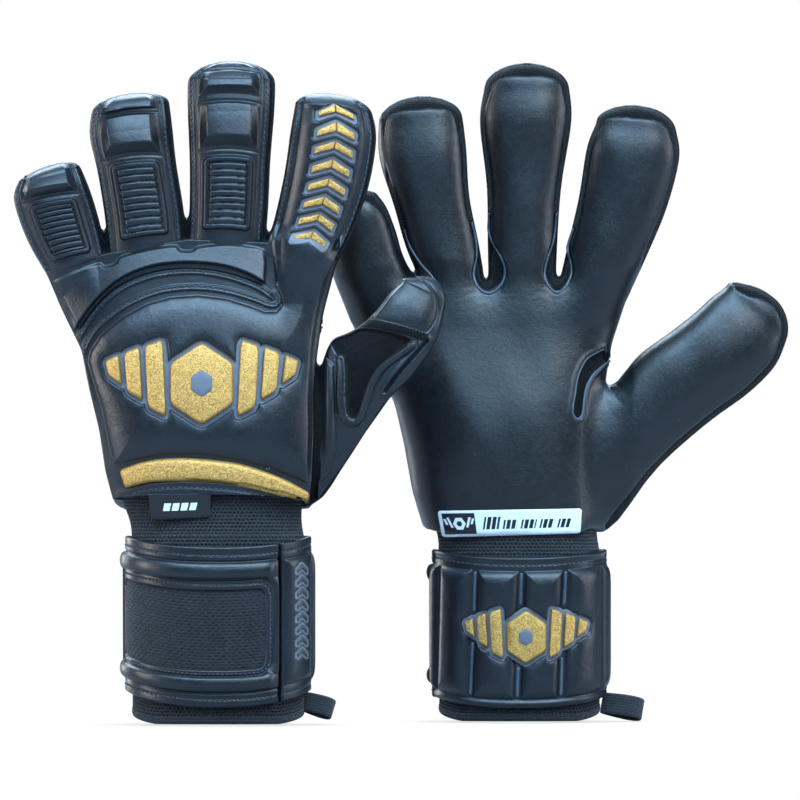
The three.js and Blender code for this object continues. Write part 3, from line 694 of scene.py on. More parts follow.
BOTL = smooth_poly([(124,496),(150,490),(179,487.5),(210,488),(240,491),(270,497),(290,502.5),(313,511)], 60)

def rounded(poly, r=0.16, n=5):
    """corner-rounded polygon"""
    P = np.asarray(poly, float); out = []
    for i in range(len(P)):
        a, b, c = P[i - 1], P[i], P[(i + 1) % len(P)]
        p0, p2 = b + (a - b) * r, b + (c - b) * r
        for q in np.linspace(0, 1, n):
            out.append((1 - q) ** 2 * p0 + 2 * q * (1 - q) * b + q * q * p2)
    return np.array(out)

def emblem(cx, cy, k):
    """hexagon with three slanted wing bars on each side, as convex outlines"""
    shapes = []
    R = 41 * k
    hexa = [(cx + R * math.sin(a) * 0.88, cy - R * math.cos(a)) for a in np.radians([0, 60, 120, 180, 240, 300])]
    shapes.append(rounded(hexa, 0.14))
    for sgn in (-1, 1):
        for i, (x0, w, up, dn) in enumerate([(38.5, 18, 44, 33), (61.5, 15.5, 37, 17), (82, 13.5, 29, 1)]):
            a = [(x0, -up), (x0 + w, -up + 6), (x0 + w - 3.5, dn - 9), (x0 - 3.5, dn)]
            shapes.append(rounded([(cx + sgn * px * k, cy + py * k) for px, py in a][::sgn], 0.16))
    return shapes
EMB = emblem(203, 384, 1.0)
EMB_HOLE = rounded([(203 + 12.5 * math.sin(a), 384 - 14 * math.cos(a)) for a in np.radians([0, 60, 120, 180, 240, 300])], 0.12)

def emb_sdf(P, shapes):
    e = np.full(P.shape[:-1], 1e9)
    lo = np.min([s.min(0) for s in shapes], 0) - 30; hi = np.max([s.max(0) for s in shapes], 0) + 30
    m = (P[..., 0] > lo[0]) & (P[..., 0] < hi[0]) & (P[..., 1] > lo[1]) & (P[..., 1] < hi[1])
    Q = P[m]; r = np.full(len(Q), 1e9)
    for s in shapes:
        r = np.minimum(r, sdf(Q, s))
    e[m] = r
    return e

def relief_back(P):
    d = -sdf(P, PAD)
    H = 3.5 * (1 - np.exp(-np.maximum(d, 0) / 12.0)) * sstep(-0.5, 4, d)
    H -= 0.5 * np.exp(-(d / 2.6) ** 2)
    # knuckle band
    k = -sdf(P, KPOLY)
    db, _ = dist_line(P, KBOT)
    H = np.where(k > 0, (0.8 + 3.4 * np.clip(1 - (db - 3) / 26.0, 0, 1)) * sstep(0, 3.2, k) * sstep(0, 3.5, db), H)
    # two stitched flanges with a groove between them
    f1, _ = dist_line(P, FL1); f2, _ = dist_line(P, FL2)
    H = np.maximum(H, 1.15 * (1 - sstep(2.3, 3.4, f1)))
    H = np.where(f2 < 4.2, np.maximum(H * sstep(3.2, 4.2, f2), 1.0 * (1 - sstep(2.4, 3.4, f2))), H)
    H -= 0.35 * (np.exp(-(f1 / 0.8) ** 2) + np.exp(-(f2 / 0.8) ** 2))
    # bottom flange and band seat
    b0, _ = dist_line(P, BOTL)
    H = np.where((d < 0) & (P[..., 1] > 440), np.maximum(H, 0.9 * (1 - sstep(5.5, 7.0, b0))), H)
    H -= 0.3 * np.exp(-(b0 / 0.9) ** 2)
    # emblem recess
    e = emb_sdf(P, EMB)
    H = np.where(e < 60, H - 1.5 * (1 - sstep(3.2, 5.2, e)) - 1.0 * np.exp(-np.maximum(e - 4, 0) / 7.0) * (e >= 4) - 1.0 * (e < 4), H)
    slate = (1 - sstep(3.5, 4.6, e))
    return H, slate

_TX = np.array([44, 108, 188, 267, 340.0]); _TX = (_TX - 44) / 296.0
def hand_depth_back(h, t):
    u = np.clip(np.abs(2 * h - 1), 0, 1)
    D = hand_b(t) * (0.60 + 0.40 * (1 - u ** 2.6))
    i = np.clip(np.searchsorted(_TX, h, side="right") - 1, 0, 3)
    uf = 2 * (h - _TX[i]) / (_TX[i + 1] - _TX[i]) - 1
    lobe = 13.1 * (0.66 + 0.34 * (1 - np.clip(np.abs(uf), 0, 1) ** 2.6))
    w = sstep(0.78, 1.0, t)
    return D + w * np.maximum(lobe - D, 0)

SLEFT = 0.424
def left_sheet(xz_left):
    """sheet coordinates of points on the left glove"""
    return np.stack([(xz_left[..., 0] + 1.0 - OFFX) / SLEFT + 400, 400 - (xz_left[..., 1] - 137) / SLEFT], -1)

def back_place(g, P, lift=0.0):
    """3-D position of sheet points P on the back of glove g, standing lift above the relief; also the outward normal."""
    def pos(Q):
        h, t = invert(back_xz, "left", mm("left", Q))
        xz = back_xz(g, h, t)
        H, _ = relief_back(Q)
        return world(g, xz, -(hand_depth_back(h, t) + H + lift))
    X = pos(P)
    e = 0.8
    dx = pos(P + np.array([e, 0])) - X; dy = pos(P + np.array([0, e])) - X
    N = np.cross(dx, dy); N /= np.maximum(np.linalg.norm(N, axis=-1, keepdims=True), 1e-9)
    N *= np.where(N[..., 1:2] * -PALM[g] < 0, -1, 1)
    return X, N

def hand_back_piece(g):
    n, m = int(300 / RES), int(290 / RES)
    h = np.linspace(0.012, 0.988, n)[:, None] * np.ones((1, m)); t = np.ones((n, 1)) * np.linspace(0.0, 1.0, m)[None]
    P = left_sheet(back_xz("left", h, t))
    H, slate = relief_back(P)
    edge = np.minimum(np.minimum(h - 0.012, 0.988 - h) * 100 / 3.0, 1.0)
    H = H * sstep(0, 1, edge)
    xz = back_xz(g, h, t)
    D = hand_depth_back(h, t) + H
    top = world(g, xz, -D)
    bot = world(g, xz + 0.0, -(hand_b(t) * 0.25))
    V, Fs = slab(top, bot)
    at = {"slate": np.concatenate([slate.ravel(), np.zeros(n * m)]), "band": np.concatenate([np.zeros(n * m), np.ones(n * m)])}
    emit(f"{g}_backhand", V, Fs, "back_latex", ("body", f"{g}_hand"), at, replaces=[f"{g}_backhand_panel", f"{g}_knuckle_pad"])

def crowned(outline, place, height, rings=7, edge=1.0, sink=0.8, taper=0.55):
    """closed crowned solid over a convex outline: place(Q, lift) gives (pos, normal). Returns V, F list, shade."""
    c = outline.mean(0); n = len(outline)
    R = np.hypot(*(outline - c).T).mean()
    levels = [(1.0, -sink), (1.0, 0.25)]
    for i in range(1, rings):
        q = i / (rings - 1.0)
        inset = edge * (1 - math.cos(q * math.pi / 2)) * 1.6
        levels.append((max(1 - inset / R - 0.0 * q, 0.1), 0.25 + (height - 0.25) * math.sin(q * math.pi / 2) ** 0.8))
    for q in (0.6, 0.3):
        levels.append((levels[rings][0] * q, height + 0.15))
    pts = np.concatenate([c + (outline - c) * s for s, _ in levels])
    lift = np.repeat([l for _, l in levels], n)
    pts = np.vstack([pts, c[None], c[None]]); lift = np.append(lift, [height + 0.15, -sink])
    X, N = place(pts, 0.0)
    V = X + N * lift[:, None]
    F = grid_faces(len(levels), n, close_m=True)
    j = np.arange(n); k = len(levels)
    T = np.vstack([np.stack([np.full(n, k * n), (k - 1) * n + (j + 1) % n, (k - 1) * n + j], -1), np.stack([np.full(n, k * n + 1), j, (j + 1) % n], -1)])
    if volume(V - V.mean(0), [F, T]) < 0: F, T = F[:, ::-1], T[:, ::-1]
    shade = np.concatenate([np.repeat([1.0, 0.9] + [0.8 * (1 - i / (rings - 1.0)) for i in range(1, rings)] + [0, 0], n), [0, 1]])
    return V, F, T, shade

def join_parts(parts):
    Vs, Q, T, A, I, off = [], [], [], [], [], 0
    for i, (V, F, Tt, s) in enumerate(parts):
        Vs.append(V); Q.append(F + off); T.append(Tt + off) if len(Tt) else None; A.append(s); I.append(np.full(len(V), i)); off += len(V)
    return np.vstack(Vs), [np.vstack(Q)] + ([np.vstack(T)] if T else []), np.concatenate(A), np.concatenate(I)

def sweep(path, normal, r_side, r_up, n=8, closed=False, caps=True, lift=0.0):
    """elliptic cord along path (k,3) with given up normals (k,3)."""
    k = len(path)
    tan = np.gradient(path, axis=0)
    if closed: tan = np.roll(path, -1, 0) - np.roll(path, 1, 0)
    tan /= np.maximum(np.linalg.norm(tan, axis=1, keepdims=True), 1e-9)
    side = np.cross(tan, normal); side /= np.maximum(np.linalg.norm(side, axis=1, keepdims=True), 1e-9)
    up = np.cross(side, tan)
    q = np.linspace(0, 2 * math.pi, n, endpoint=False)
    rs = np.broadcast_to(r_side, (k,)); ru = np.broadcast_to(r_up, (k,))
    V = (path + up * lift)[:, None] + side[:, None] * (np.cos(q)[None, :, None] * rs[:, None, None]) + up[:, None] * (np.sin(q)[None, :, None] * ru[:, None, None])
    V = V.reshape(-1, 3)
    F = grid_faces(k, n, close_n=closed, close_m=True)
    T = np.zeros((0, 3), int)
    if not closed:
        V = np.vstack([V, path[:1] + up[:1] * lift, path[-1:] + up[-1:] * lift])
        j = np.arange(n)
        T = np.vstack([np.stack([np.full(n, k * n), j, (j + 1) % n], -1), np.stack([np.full(n, k * n + 1), (k - 1) * n + (j + 1) % n, (k - 1) * n + j], -1)])
    if volume(V - V.mean(0), [F, T] if len(T) else [F]) < 0: F, T = F[:, ::-1], T[:, ::-1]
    return V, F, T, np.zeros(len(V))

STITCH = {}
def stitch_row(key, X, N, pitch=2.5, length=1.7, r=0.33, lift=0.2):
    """stitches along a dense path X (k,3) with normals N; kept until all rows of a key are joined."""
    seg = np.linalg.norm(np.diff(X, axis=0), axis=1); cum = np.concatenate([[0], np.cumsum(seg)])
    if cum[-1] < pitch: return
    s = np.arange(pitch * 0.5, cum[-1], pitch)
    def at(q): return np.stack([np.interp(q, cum, X[:, i]) for i in range(3)], -1)
    def an(q): return np.stack([np.interp(q, cum, N[:, i]) for i in range(3)], -1)
    for c in s:
        q = c + np.linspace(-length / 2, length / 2, 5)
        q = np.clip(q, 0, cum[-1])
        P, U = at(q), an(q)
        rr = r * np.array([0.35, 0.9, 1.0, 0.9, 0.35])
        ll = lift + np.array([-0.28, 0.0, 0.06, 0.0, -0.28])
        P = P + U * ll[:, None]
        STITCH.setdefault(key, []).append(sweep(P, U, rr, rr * 0.85, n=6))

def flush_stitches():
    for key, parts in STITCH.items():
        V, Fs, A, I = join_parts(parts)
        name, where = key
        emit(name, V, Fs, "thread", where, {}, islands=I, custom=False)

def gold_pieces(g):
    parts = [crowned(s, lambda Q, l: back_place(g, Q, l), 2.3, rings=9, edge=2.6) for s in EMB]
    V, Fs, A, I = join_parts(parts)
    emit(f"{g}_back_emblem", V, Fs, "gold_print", ("body", f"{g}_hand"), {"shade": A})
    V, F, T, A = crowned(EMB_HOLE, lambda Q, l: back_place(g, Q, l), 2.75, edge=0.6, sink=0.2)
    emit(f"{g}_back_emblem_core", V, [F, T], "slate_print", ("body", f"{g}_hand"))
    # gold band: crowned strip along the wrist arch
    k = int(150 / RES); m = 15
    t = np.linspace(0, 1, k)
    C = catmull(BAND[::3], np.linspace(0, len(BAND[::3]) - 1, k))
    tan = np.gradient(C, axis=0); tan /= np.hypot(*tan.T)[:, None]; nor = np.stack([-tan[:, 1], tan[:, 0]], -1)
    hw = np.interp(t, [0, 0.02, 0.3, 0.6, 0.85, 0.97, 1], [8.5, 10.2, 12, 11.5, 8.6, 6.0, 4.0])
    w = np.linspace(-1, 1, m)
    Q = C[:, None] + nor[:, None] * (w[None, :, None] * hw[:, None, None])
    X, N = back_place(g, Q.reshape(-1, 2))
    endt = np.minimum(np.minimum(t, 1 - t) * k / 5.0, 1)
    lift = (1.9 * np.sqrt(np.clip(1 - np.abs(w) ** 3.2, 0, 1))[None] * np.sqrt(np.clip(1 - (1 - endt) ** 2, 0, 1))[:, None] + 0.15)
    Xm = back_place(g, C, 0)[0]
    base = X.reshape(k, m, 3); NN = N.reshape(k, m, 3)
    # seat the band on a level bed so the pad edge under it does not show through
    lvl = base[:, m // 2][:, None, 1] * np.ones((1, m)); base = base.copy(); base[..., 1] = 0.35 * base[..., 1] + 0.65 * lvl
    lift = lift + (0.35 + 1.2 * sstep(0.66, 0.93, t) * np.minimum(endt, 1))[:, None] * (1 - np.abs(w) ** 6)[None]
    top = base + NN * lift[..., None]; bot = base - NN * 1.2
    V, Fs = slab(top, bot)
    sh = np.concatenate([(np.abs(w) ** 5)[None].repeat(k, 0).ravel(), np.ones(k * m)])
    emit(f"{g}_gold_band", V, Fs, "gold_print", ("body", f"{g}_hand"), {"shade": sh})
    # stitch rows
    for name, line in (("f1", FL1), ("f2", FL2), ("bot", BOTL[3:-2])):
        X, N = back_place(g, line)
        stitch_row((f"{g}_hand_stitches", ("body", f"{g}_hand")), X, N)

# ------------------------------------------------------------------ finger backs
def finger_surface(g, f, u, v):
    """xz and half depth of a finger at u across (-1..1) and v along (0 base .. 1 tip)"""
    S = mm(g, L[g][f])
    first = S[:1] + (S[:1] - S[1:2]) * (0.95 if f == "index" else 0.35)
    A, bb = with_cap(np.concatenate([first, S]), np.array([12.9] + FD))
    bb[-8:] = np.maximum(bb[-8:], 3.2)
    mids = A.mean(1); cum = np.concatenate([[0], np.cumsum(np.hypot(*np.diff(mids, axis=0).T))])
    s0 = cum[1]; tot = cum[-1]
    tt = np.interp(s0 + v * (tot - s0), cum, np.arange(len(A)))
    P = catmull(A.reshape(len(A), 4), tt)
    b = catmull(bb[:, None], tt)[..., 0]
    lo, hi = P[..., 0:2], P[..., 2:4]
    c, x = (lo + hi) / 2, (hi - lo) / 2
    return c + x * u[..., None], b, tot - s0

FSPEC = {"middle": dict(panel=(0.02, 0.465), blocks=[(0.485, 0.735), (0.765, 0.925)], cap=0.94, ribs=9),
         "ring": dict(panel=(0.02, 0.54), blocks=[(0.56, 0.825)], cap=0.85, ribs=9),
         "pinky": dict(panel=(0.02, 0.63), blocks=[], cap=0.66, ribs=9)}
UE = (-0.97, 0.90)     # the sewn back sheet reaches from edge to edge, a little short on the thumb side

def finger_relief(f, u, v, length):
    """u in sheet span -1..1 after rescale, v along"""
    sp = FSPEC[f]
    sag = 0.030 * (1 - u * u)
    w = v - sag
    pw = 33.0 / length
    H = np.zeros_like(u)
    inner = 1 - sstep(0.78, 0.84, np.abs(u))                 # raised field inside the flanges
    H += 1.1 * (1 - sstep(0.995, 1.0, np.abs(u)))            # flange
    H -= 0.55 * np.exp(-((np.abs(u) - 0.825) / 0.028) ** 2)  # groove beside the flange
    H -= 0.30 * np.exp(-((np.abs(u) - 0.91) / 0.012) ** 2)   # stitch groove
    # rib panel: raised rounded frame, sunk field, ribs
    p0, p1 = sp["panel"]; pc, ph = (p0 + p1) / 2, (p1 - p0) / 2
    mmu = 15.5
    dx = (np.abs(u) - 0.66) * mmu; dy = (np.abs(w - pc) - ph + 0.025) * length
    r = 2.2
    rr = np.hypot(np.maximum(dx + r, 0), np.maximum(dy + r, 0)) + np.minimum(np.maximum(dx + r, dy + r), 0) - r
    frame_ = 1.9 * (1 - sstep(0.0, 1.1, np.abs(rr + 1.2) - 0.55))
    bed = 0.9 * (1 - sstep(-0.4, 0.4, rr))
    H += np.maximum(frame_, bed) * (rr < 2.0)
    qq = (w - p0 - 0.05) / (p1 - p0 - 0.11)
    # ribs
    n = sp["ribs"]
    ph_ = qq * n
    cyc = np.abs((ph_ - np.floor(ph_)) - 0.5) * 2
    ribm = (1 - sstep(0.46, 0.52, np.abs(u))) * ((qq > 0) & (qq < 1))
    ribm = ribm * (rr < -2.3)
    H += ribm * 1.25 * np.sqrt(np.clip(1 - (cyc / 0.97) ** 3.5, 0, 1))
    # bevelled blocks
    def block(a, b, hgt, H):
        cx, hy = (a + b) / 2, (b - a) / 2 * length
        du = (0.765 - np.abs(u)) * mmu
        dv = (b - w) * length; dl = (w - a) * length
        face = 1.6 + (hgt - 1.6) * np.clip(dv / max((b - a) * length - 5.5, 1.0), 0, 1)
        m = np.minimum(np.minimum(du / 3.4, dv / 0.9), dl / 5.0)
        inside_ = (du > 0) & (dv > 0) & (dl > 0)
        hh = face * np.clip(m, 0, 1) + 0.5 * sstep(0.0, 0.12, m)
        return np.where(inside_, np.maximum(H, hh), H)
    for a, b in sp["blocks"]:
        H = block(a, b, 4.6, H)
    # cap: rounded dome block at the tip
    a = sp["cap"]
    du = (0.80 - np.abs(u)) * mmu; dl = (w - a) * length; dv = (1.03 - v) * length
    m = np.minimum(np.minimum(du / 3.2, dl / (4.4 if f == "pinky" else 1.4)), 1.0)
    capf = np.clip(dv / ((1.03 - a) * length - (5.0 if f == "pinky" else 1.2)), 0, 1)
    H = np.where((du > 0) & (dl > 0), np.maximum(H, (0.8 + (3.4 if f == "pinky" else 2.6) * capf) * np.clip(m, 0, 1) + 0.4 * sstep(0, 0.15, m)), H)
    # thin pressed lines between the blocks
    for line in [p1 + 0.012] + [b for a, b in sp["blocks"]]:
        H -= 0.45 * np.exp(-(((w - line) * length) / 0.45) ** 2) * (np.abs(u) < 0.79)
    return H

def finger_back_piece(g, f):
    n, m = int(104 / RES), int(250 / RES)
    u = np.linspace(-1, 1, n)[:, None] * np.ones((1, m)); v = np.ones((n, 1)) * np.linspace(-0.15 if f == "index" else -0.045, 1.0, m)[None]
    U = UE[0] + (UE[1] - UE[0]) * (u + 1) / 2
    xz, b, length = finger_surface(g, f, U, v)
    D0 = b * (0.60 + 0.40 * (1 - np.abs(U) ** 2.4))
    if f != "index":
        H = finger_relief(f, u, v, length)
        H *= sstep(-0.045, 0.0, v)
    else:
        H = index_relief(g, xz, u, v, length)[0]
    tipround = np.sqrt(np.clip(1 - np.clip((v - 0.955) / 0.045, 0, 1) ** 2, 0, 1))
    edge = np.sqrt(np.clip(1 - np.clip((np.abs(u) - 0.965) / 0.035, 0, 1) ** 2, 0, 1))
    D = D0 * (0.75 + 0.25 * tipround) + H * tipround + 0.5 * (edge - 1)
    if f == "index":
        hh, th_ = invert(back_xz, g, xz)
        hh = np.clip(hh, 0.0, 0.99); th_ = np.clip(th_, 0.0, 0.998)
        Dh = hand_depth_back(hh, th_) + relief_back(left_sheet(back_xz("left", hh, th_)))[0]
        wb = 1 - sstep(0.0, 0.16, v)
        D = D * (1 - wb) + (Dh + 0.22 - 0.9 * sstep(-0.07, -0.15, v)) * wb
    top = world(g, xz, -D)
    low = world(g, xz, -np.minimum(b * 0.22, D - 0.6))
    V, Fs = slab(top, low)
    slate = index_relief(g, xz, u, v, length)[1] if f == "index" else np.zeros_like(H)
    at = {"slate": np.concatenate([slate.ravel(), np.zeros(n * m)]), "band": np.concatenate([np.zeros(n * m), np.ones(n * m)])}
    emit(f"{g}_{f}_back", V, Fs, "back_latex", ("finger", g, f), at, replaces=[f"{g}_{f}_back_base", f"{g}_{f}_back_tip"])
    def P(uu, vv):
        UU = UE[0] + (UE[1] - UE[0]) * (uu + 1) / 2
        xz, b, ln = finger_surface(g, f, UU, vv)
        H = finger_relief(f, uu, vv, ln) if f != "index" else index_relief(g, xz, uu, vv, ln)[0]
        return world(g, xz, -(b * (0.60 + 0.40 * (1 - np.abs(UU) ** 2.4)) + H))
    def PN(uu, vv):
        X = P(uu, vv)
        N = np.cross(P(uu + 0.01, vv) - X, P(uu, vv + 0.004) - X)
        N /= np.linalg.norm(N, axis=-1, keepdims=True)
        N *= np.where(N[..., 1:2] * -PALM[g] < 0, -1, 1)
        return X, N
    vv = np.linspace(0.0, 0.965, 200)
    for su in ((-0.91, 0.91) if f != "index" else (-0.90, 0.95)):
        X, N = PN(np.full_like(vv, su), vv)
        stitch_row((f"{g}_{f}_stitches", ("finger", g, f)), X, N)
    return PN

# index finger: one smooth padded sheet with a column of raised chevrons
CHEV = []
for i in range(8):
    q = i / 7.0
    CHEV.append((0.865 - 0.775 * q, 0.10 + 0.0 * q))
def chev_shapes(length):
    out = []
    for v0, u0 in CHEV:
        for sg in (-1, 1):
            a = [(u0, v0 + 3.4 / length), (u0 + sg * 0.46, v0 - 0.2 / length), (u0 + sg * 0.46, v0 - 3.0 / length), (u0, v0 + 0.2 / length)]
            out.append((a, sg))
    return out
def index_relief(g, xz, u, v, length):
    H = 1.0 + 0 * u
    e = (0.86 - np.abs(u)) * 16
    H = np.where(e > 0, 0.4 + 2.9 * (1 - np.exp(-np.maximum(e, 0) / 4.2)) * sstep(0, 1.2, e), 1.0)
    right = u > 0.86
    H -= 0.5 * np.exp(-((u + 0.86) / 0.03) ** 2) + 0.30 * np.exp(-((u + 0.90) / 0.012) ** 2) + 0.45 * np.exp(-((u - 0.87) / 0.02) ** 2)
    tip = sstep(0.0, 1.0, (0.985 - v) * length / 6.0)
    H = 0.8 + (H - 0.8) * tip
    # chevron recess
    Q = np.stack([u * 16, v * length], -1)
    s = np.full(u.shape, 1e9)
    near = (np.abs(u - 0.1) < 0.9)
    q = Q[near]; r = np.full(len(q), 1e9)
    for a, sg in chev_shapes(length):
        poly = np.array([(p[0] * 16, p[1] * length) for p in a])
        if sg < 0: poly = poly[::-1]
        r = np.minimum(r, sdf(q, poly))
    s[near] = r
    H = H - 1.1 * (1 - sstep(1.1, 2.0, s)) - 0.5 * np.exp(-np.maximum(s - 1.5, 0) / 2.2) * (s >= 1.5) - 0.5 * (s < 1.5)
    slate = 1 - sstep(1.25, 1.7, s)
    return H, slate
def chevrons(g, PN):
    _, _, length = finger_surface(g, "index", np.array([0.0]), np.array([0.5]))
    parts = []
    for a, sg in chev_shapes(length):
        P = np.array([(p[0] * 16, p[1] * length) for p in a])
        if sg < 0: P = P[::-1]
        out = rounded(P, 0.12, 4)
        place = lambda Q, l: PN(Q[..., 0] / 16, Q[..., 1] / length)
        parts.append(crowned(out, place, 1.25, rings=5, edge=0.55, sink=0.5))
    V, Fs, A, I = join_parts(parts)
    emit(f"{g}_index_chevrons", V, Fs, "gold_print", ("finger", g, "index"), {"shade": A * 0.7}, islands=I)

# ------------------------------------------------------------------ cuffs
def cuff_pt(g, th, off, z):
    C = CUFF[g]
    return np.stack([C["x"] + OFFX + se(np.cos(th), 2.3) * (C["a"] - off), Y0[g] + OFFY + PALM[g] * se(np.sin(th), 2.3) * (C["b"] - off), z + 0 * th], -1)

def cuff_lo(g, th): return CUFF[g]["bot"] - CUFF[g]["bs"] * np.abs(np.sin(th)) ** 1.6
def cuff_hi(g, th): return CUFF[g]["top"] - CUFF[g]["ts"] * np.abs(np.sin(th)) ** 1.6
def hem_z(th): return np.maximum(0, 5.5 * (1 - np.abs(np.sin(th)) ** 0.9) - 1.4)

TH = np.radians(np.linspace(0, 360, 3601))
ARC = {}
for g in L:
    p = cuff_pt(g, TH, 0.0, 0 * TH)
    ARC[g] = np.concatenate([[0], np.cumsum(np.linalg.norm(np.diff(p, axis=0), axis=1))])
def arc(g, th): return np.interp(th, TH, ARC[g])
def th_of(g, s): return np.interp(s, ARC[g], TH)
def th_px(ref, px, back):
    """angle of a sheet x coordinate on the reference glove's cuff"""
    C = CUFF[ref]
    xn = np.clip(((np.asarray(px, float) - 400) * SCALE[ref] - 1 - C["x"]) / C["a"], -1, 1)
    th = np.arccos(np.sign(xn) * np.abs(xn) ** 1.15)
    return 2 * math.pi - th if back else th
def v_px(ref, th, py):
    z = 137 + (400 - np.asarray(py, float)) * SCALE[ref]
    return (z - cuff_lo(ref, th)) / (cuff_hi(ref, th) - cuff_lo(ref, th))
def px_th(ref, th):
    C = CUFF[ref]
    return 400 + (C["x"] + se(np.cos(th), 2.3) * C["a"] + 1) / SCALE[ref]
def py_v(ref, th, v):
    z = cuff_lo(ref, th) + v * (cuff_hi(ref, th) - cuff_lo(ref, th))
    return 400 - (z - 137) / SCALE[ref]

def cuff_grid(g, t0, t1, n, m, v0=0.0, v1=1.0):
    s = np.linspace(arc(g, math.radians(t0)), arc(g, math.radians(t1)), n)[:, None] * np.ones((1, m))
    return th_of(g, s), np.ones((n, 1)) * np.linspace(v0, v1, m)[None]

def cuff_panel(name, g, TH_, V_, H, base, thick, mat, body, attrs=None, replaces=()):
    z = cuff_lo(g, TH_) + V_ * (cuff_hi(g, TH_) - cuff_lo(g, TH_))
    top = cuff_pt(g, TH_, base - H, z); bot = cuff_pt(g, TH_, base + thick + 0 * H, z)
    V, Fs = slab(top, bot)
    at = {k: np.concatenate([a.ravel(), np.full(a.size, dv)]) for k, (a, dv) in (attrs or {}).items()}
    emit(name, V, Fs, mat, ("body", body), at, replaces=replaces)

WIN = dict(t0=math.radians(181.0), v0=0.225, v1=0.735)
WIN_T1 = th_px("left", 269.5, True)
def strap_relief(g, th, v):
    hgt = cuff_hi(g, th) - cuff_lo(g, th)
    # rounded window distance in mm (negative inside)
    sc = arc(g, th); s1 = arc(g, WIN_T1); zc, zh = (WIN["v0"] + WIN["v1"]) / 2, (WIN["v1"] - WIN["v0"]) / 2
    s0 = arc(g, WIN["t0"])
    r = 4.2
    dx = np.maximum(sc - s1, s0 - sc) + r; dy = np.abs(v - zc) * hgt - zh * hgt + r
    d = np.hypot(np.maximum(dx, 0), np.maximum(dy, 0)) + np.minimum(np.maximum(dx, dy), 0) - r
    up = v > zc
    H = 1.0 + 0 * v
    # padded tubes above and below, closing round the right end of the window
    tube_u = (v - 0.843) / 0.060; tube_l = (v - 0.147) / 0.056
    re = sstep(th_px("left", 284.0, True), th_px("left", 268.0, True), th)
    Hu = np.sqrt(np.clip(1 - tube_u ** 2, 0, 1)); Hl = np.sqrt(np.clip(1 - tube_l ** 2, 0, 1))
    H = H + 2.3 * np.maximum(Hu, Hl) * (0.15 + 0.85 * re)
    side = np.exp(-((d - 5.6) / 2.6) ** 2) * (sc > s1 - 3)
    H = np.maximum(H, 1.0 + 1.0 * side * (v > 0.12) * (v < 0.88))
    wf = 2.4 + 1.7 * sstep(zc - 0.12, zc + 0.12, v)
    inner = (d > 0) & (d < wf)
    H = np.where(inner, np.minimum(H, 1.0), H)
    H += 0.35 * np.exp(-(((v - 0.94) / 0.035)) ** 2) * 0
    H -= 0.5 * np.exp(-((v - 0.905) / 0.008) ** 2) + 0.5 * np.exp(-((v - 0.09) / 0.008) ** 2)
    H -= 0.5 * np.exp(-((d - wf - 0.1) / 0.5) ** 2)
    H -= 0.25 * np.exp(-((d - 1.9) / 0.35) ** 2)
    H -= 0.25 * np.exp(-((v - 0.945) / 0.006) ** 2) + 0.25 * np.exp(-((v - 0.048) / 0.006) ** 2)
    rim = np.clip(1 - np.minimum(v, 1 - v) * hgt / 0.8, 0, 1)
    H -= 0.7 * rim ** 2
    H = np.where(d < 0, np.maximum(1.0 - 2.2 * sstep(0, -0.9, d), -1.2), H)
    return H, d

def brick(s, z, ps, pz, ls, lz, sharp=1.4):
    """0..1 mask of holes on a brick lattice"""
    r = np.floor(z / pz); q = s / ps + 0.5 * (r % 2)
    a = (q - np.floor(q) - 0.5) * ps; b = (z / pz - r - 0.5) * pz
    e = np.hypot(a / (ls / 2), b / (lz / 2))
    return np.clip((1.25 - e) * sharp, 0, 1)

def knit_relief(s, z):
    """raised crossing chains: holes on a brick lattice with plied strands between"""
    hole = brick(s, z, 2.0, 1.5, 1.25, 0.85, 1.7)
    ply = 0.13 * np.cos(2 * math.pi * (s / 1.0 + z / 3.0)) * np.cos(2 * math.pi * z / 1.5)
    return 0.85 * (1 - hole) + ply

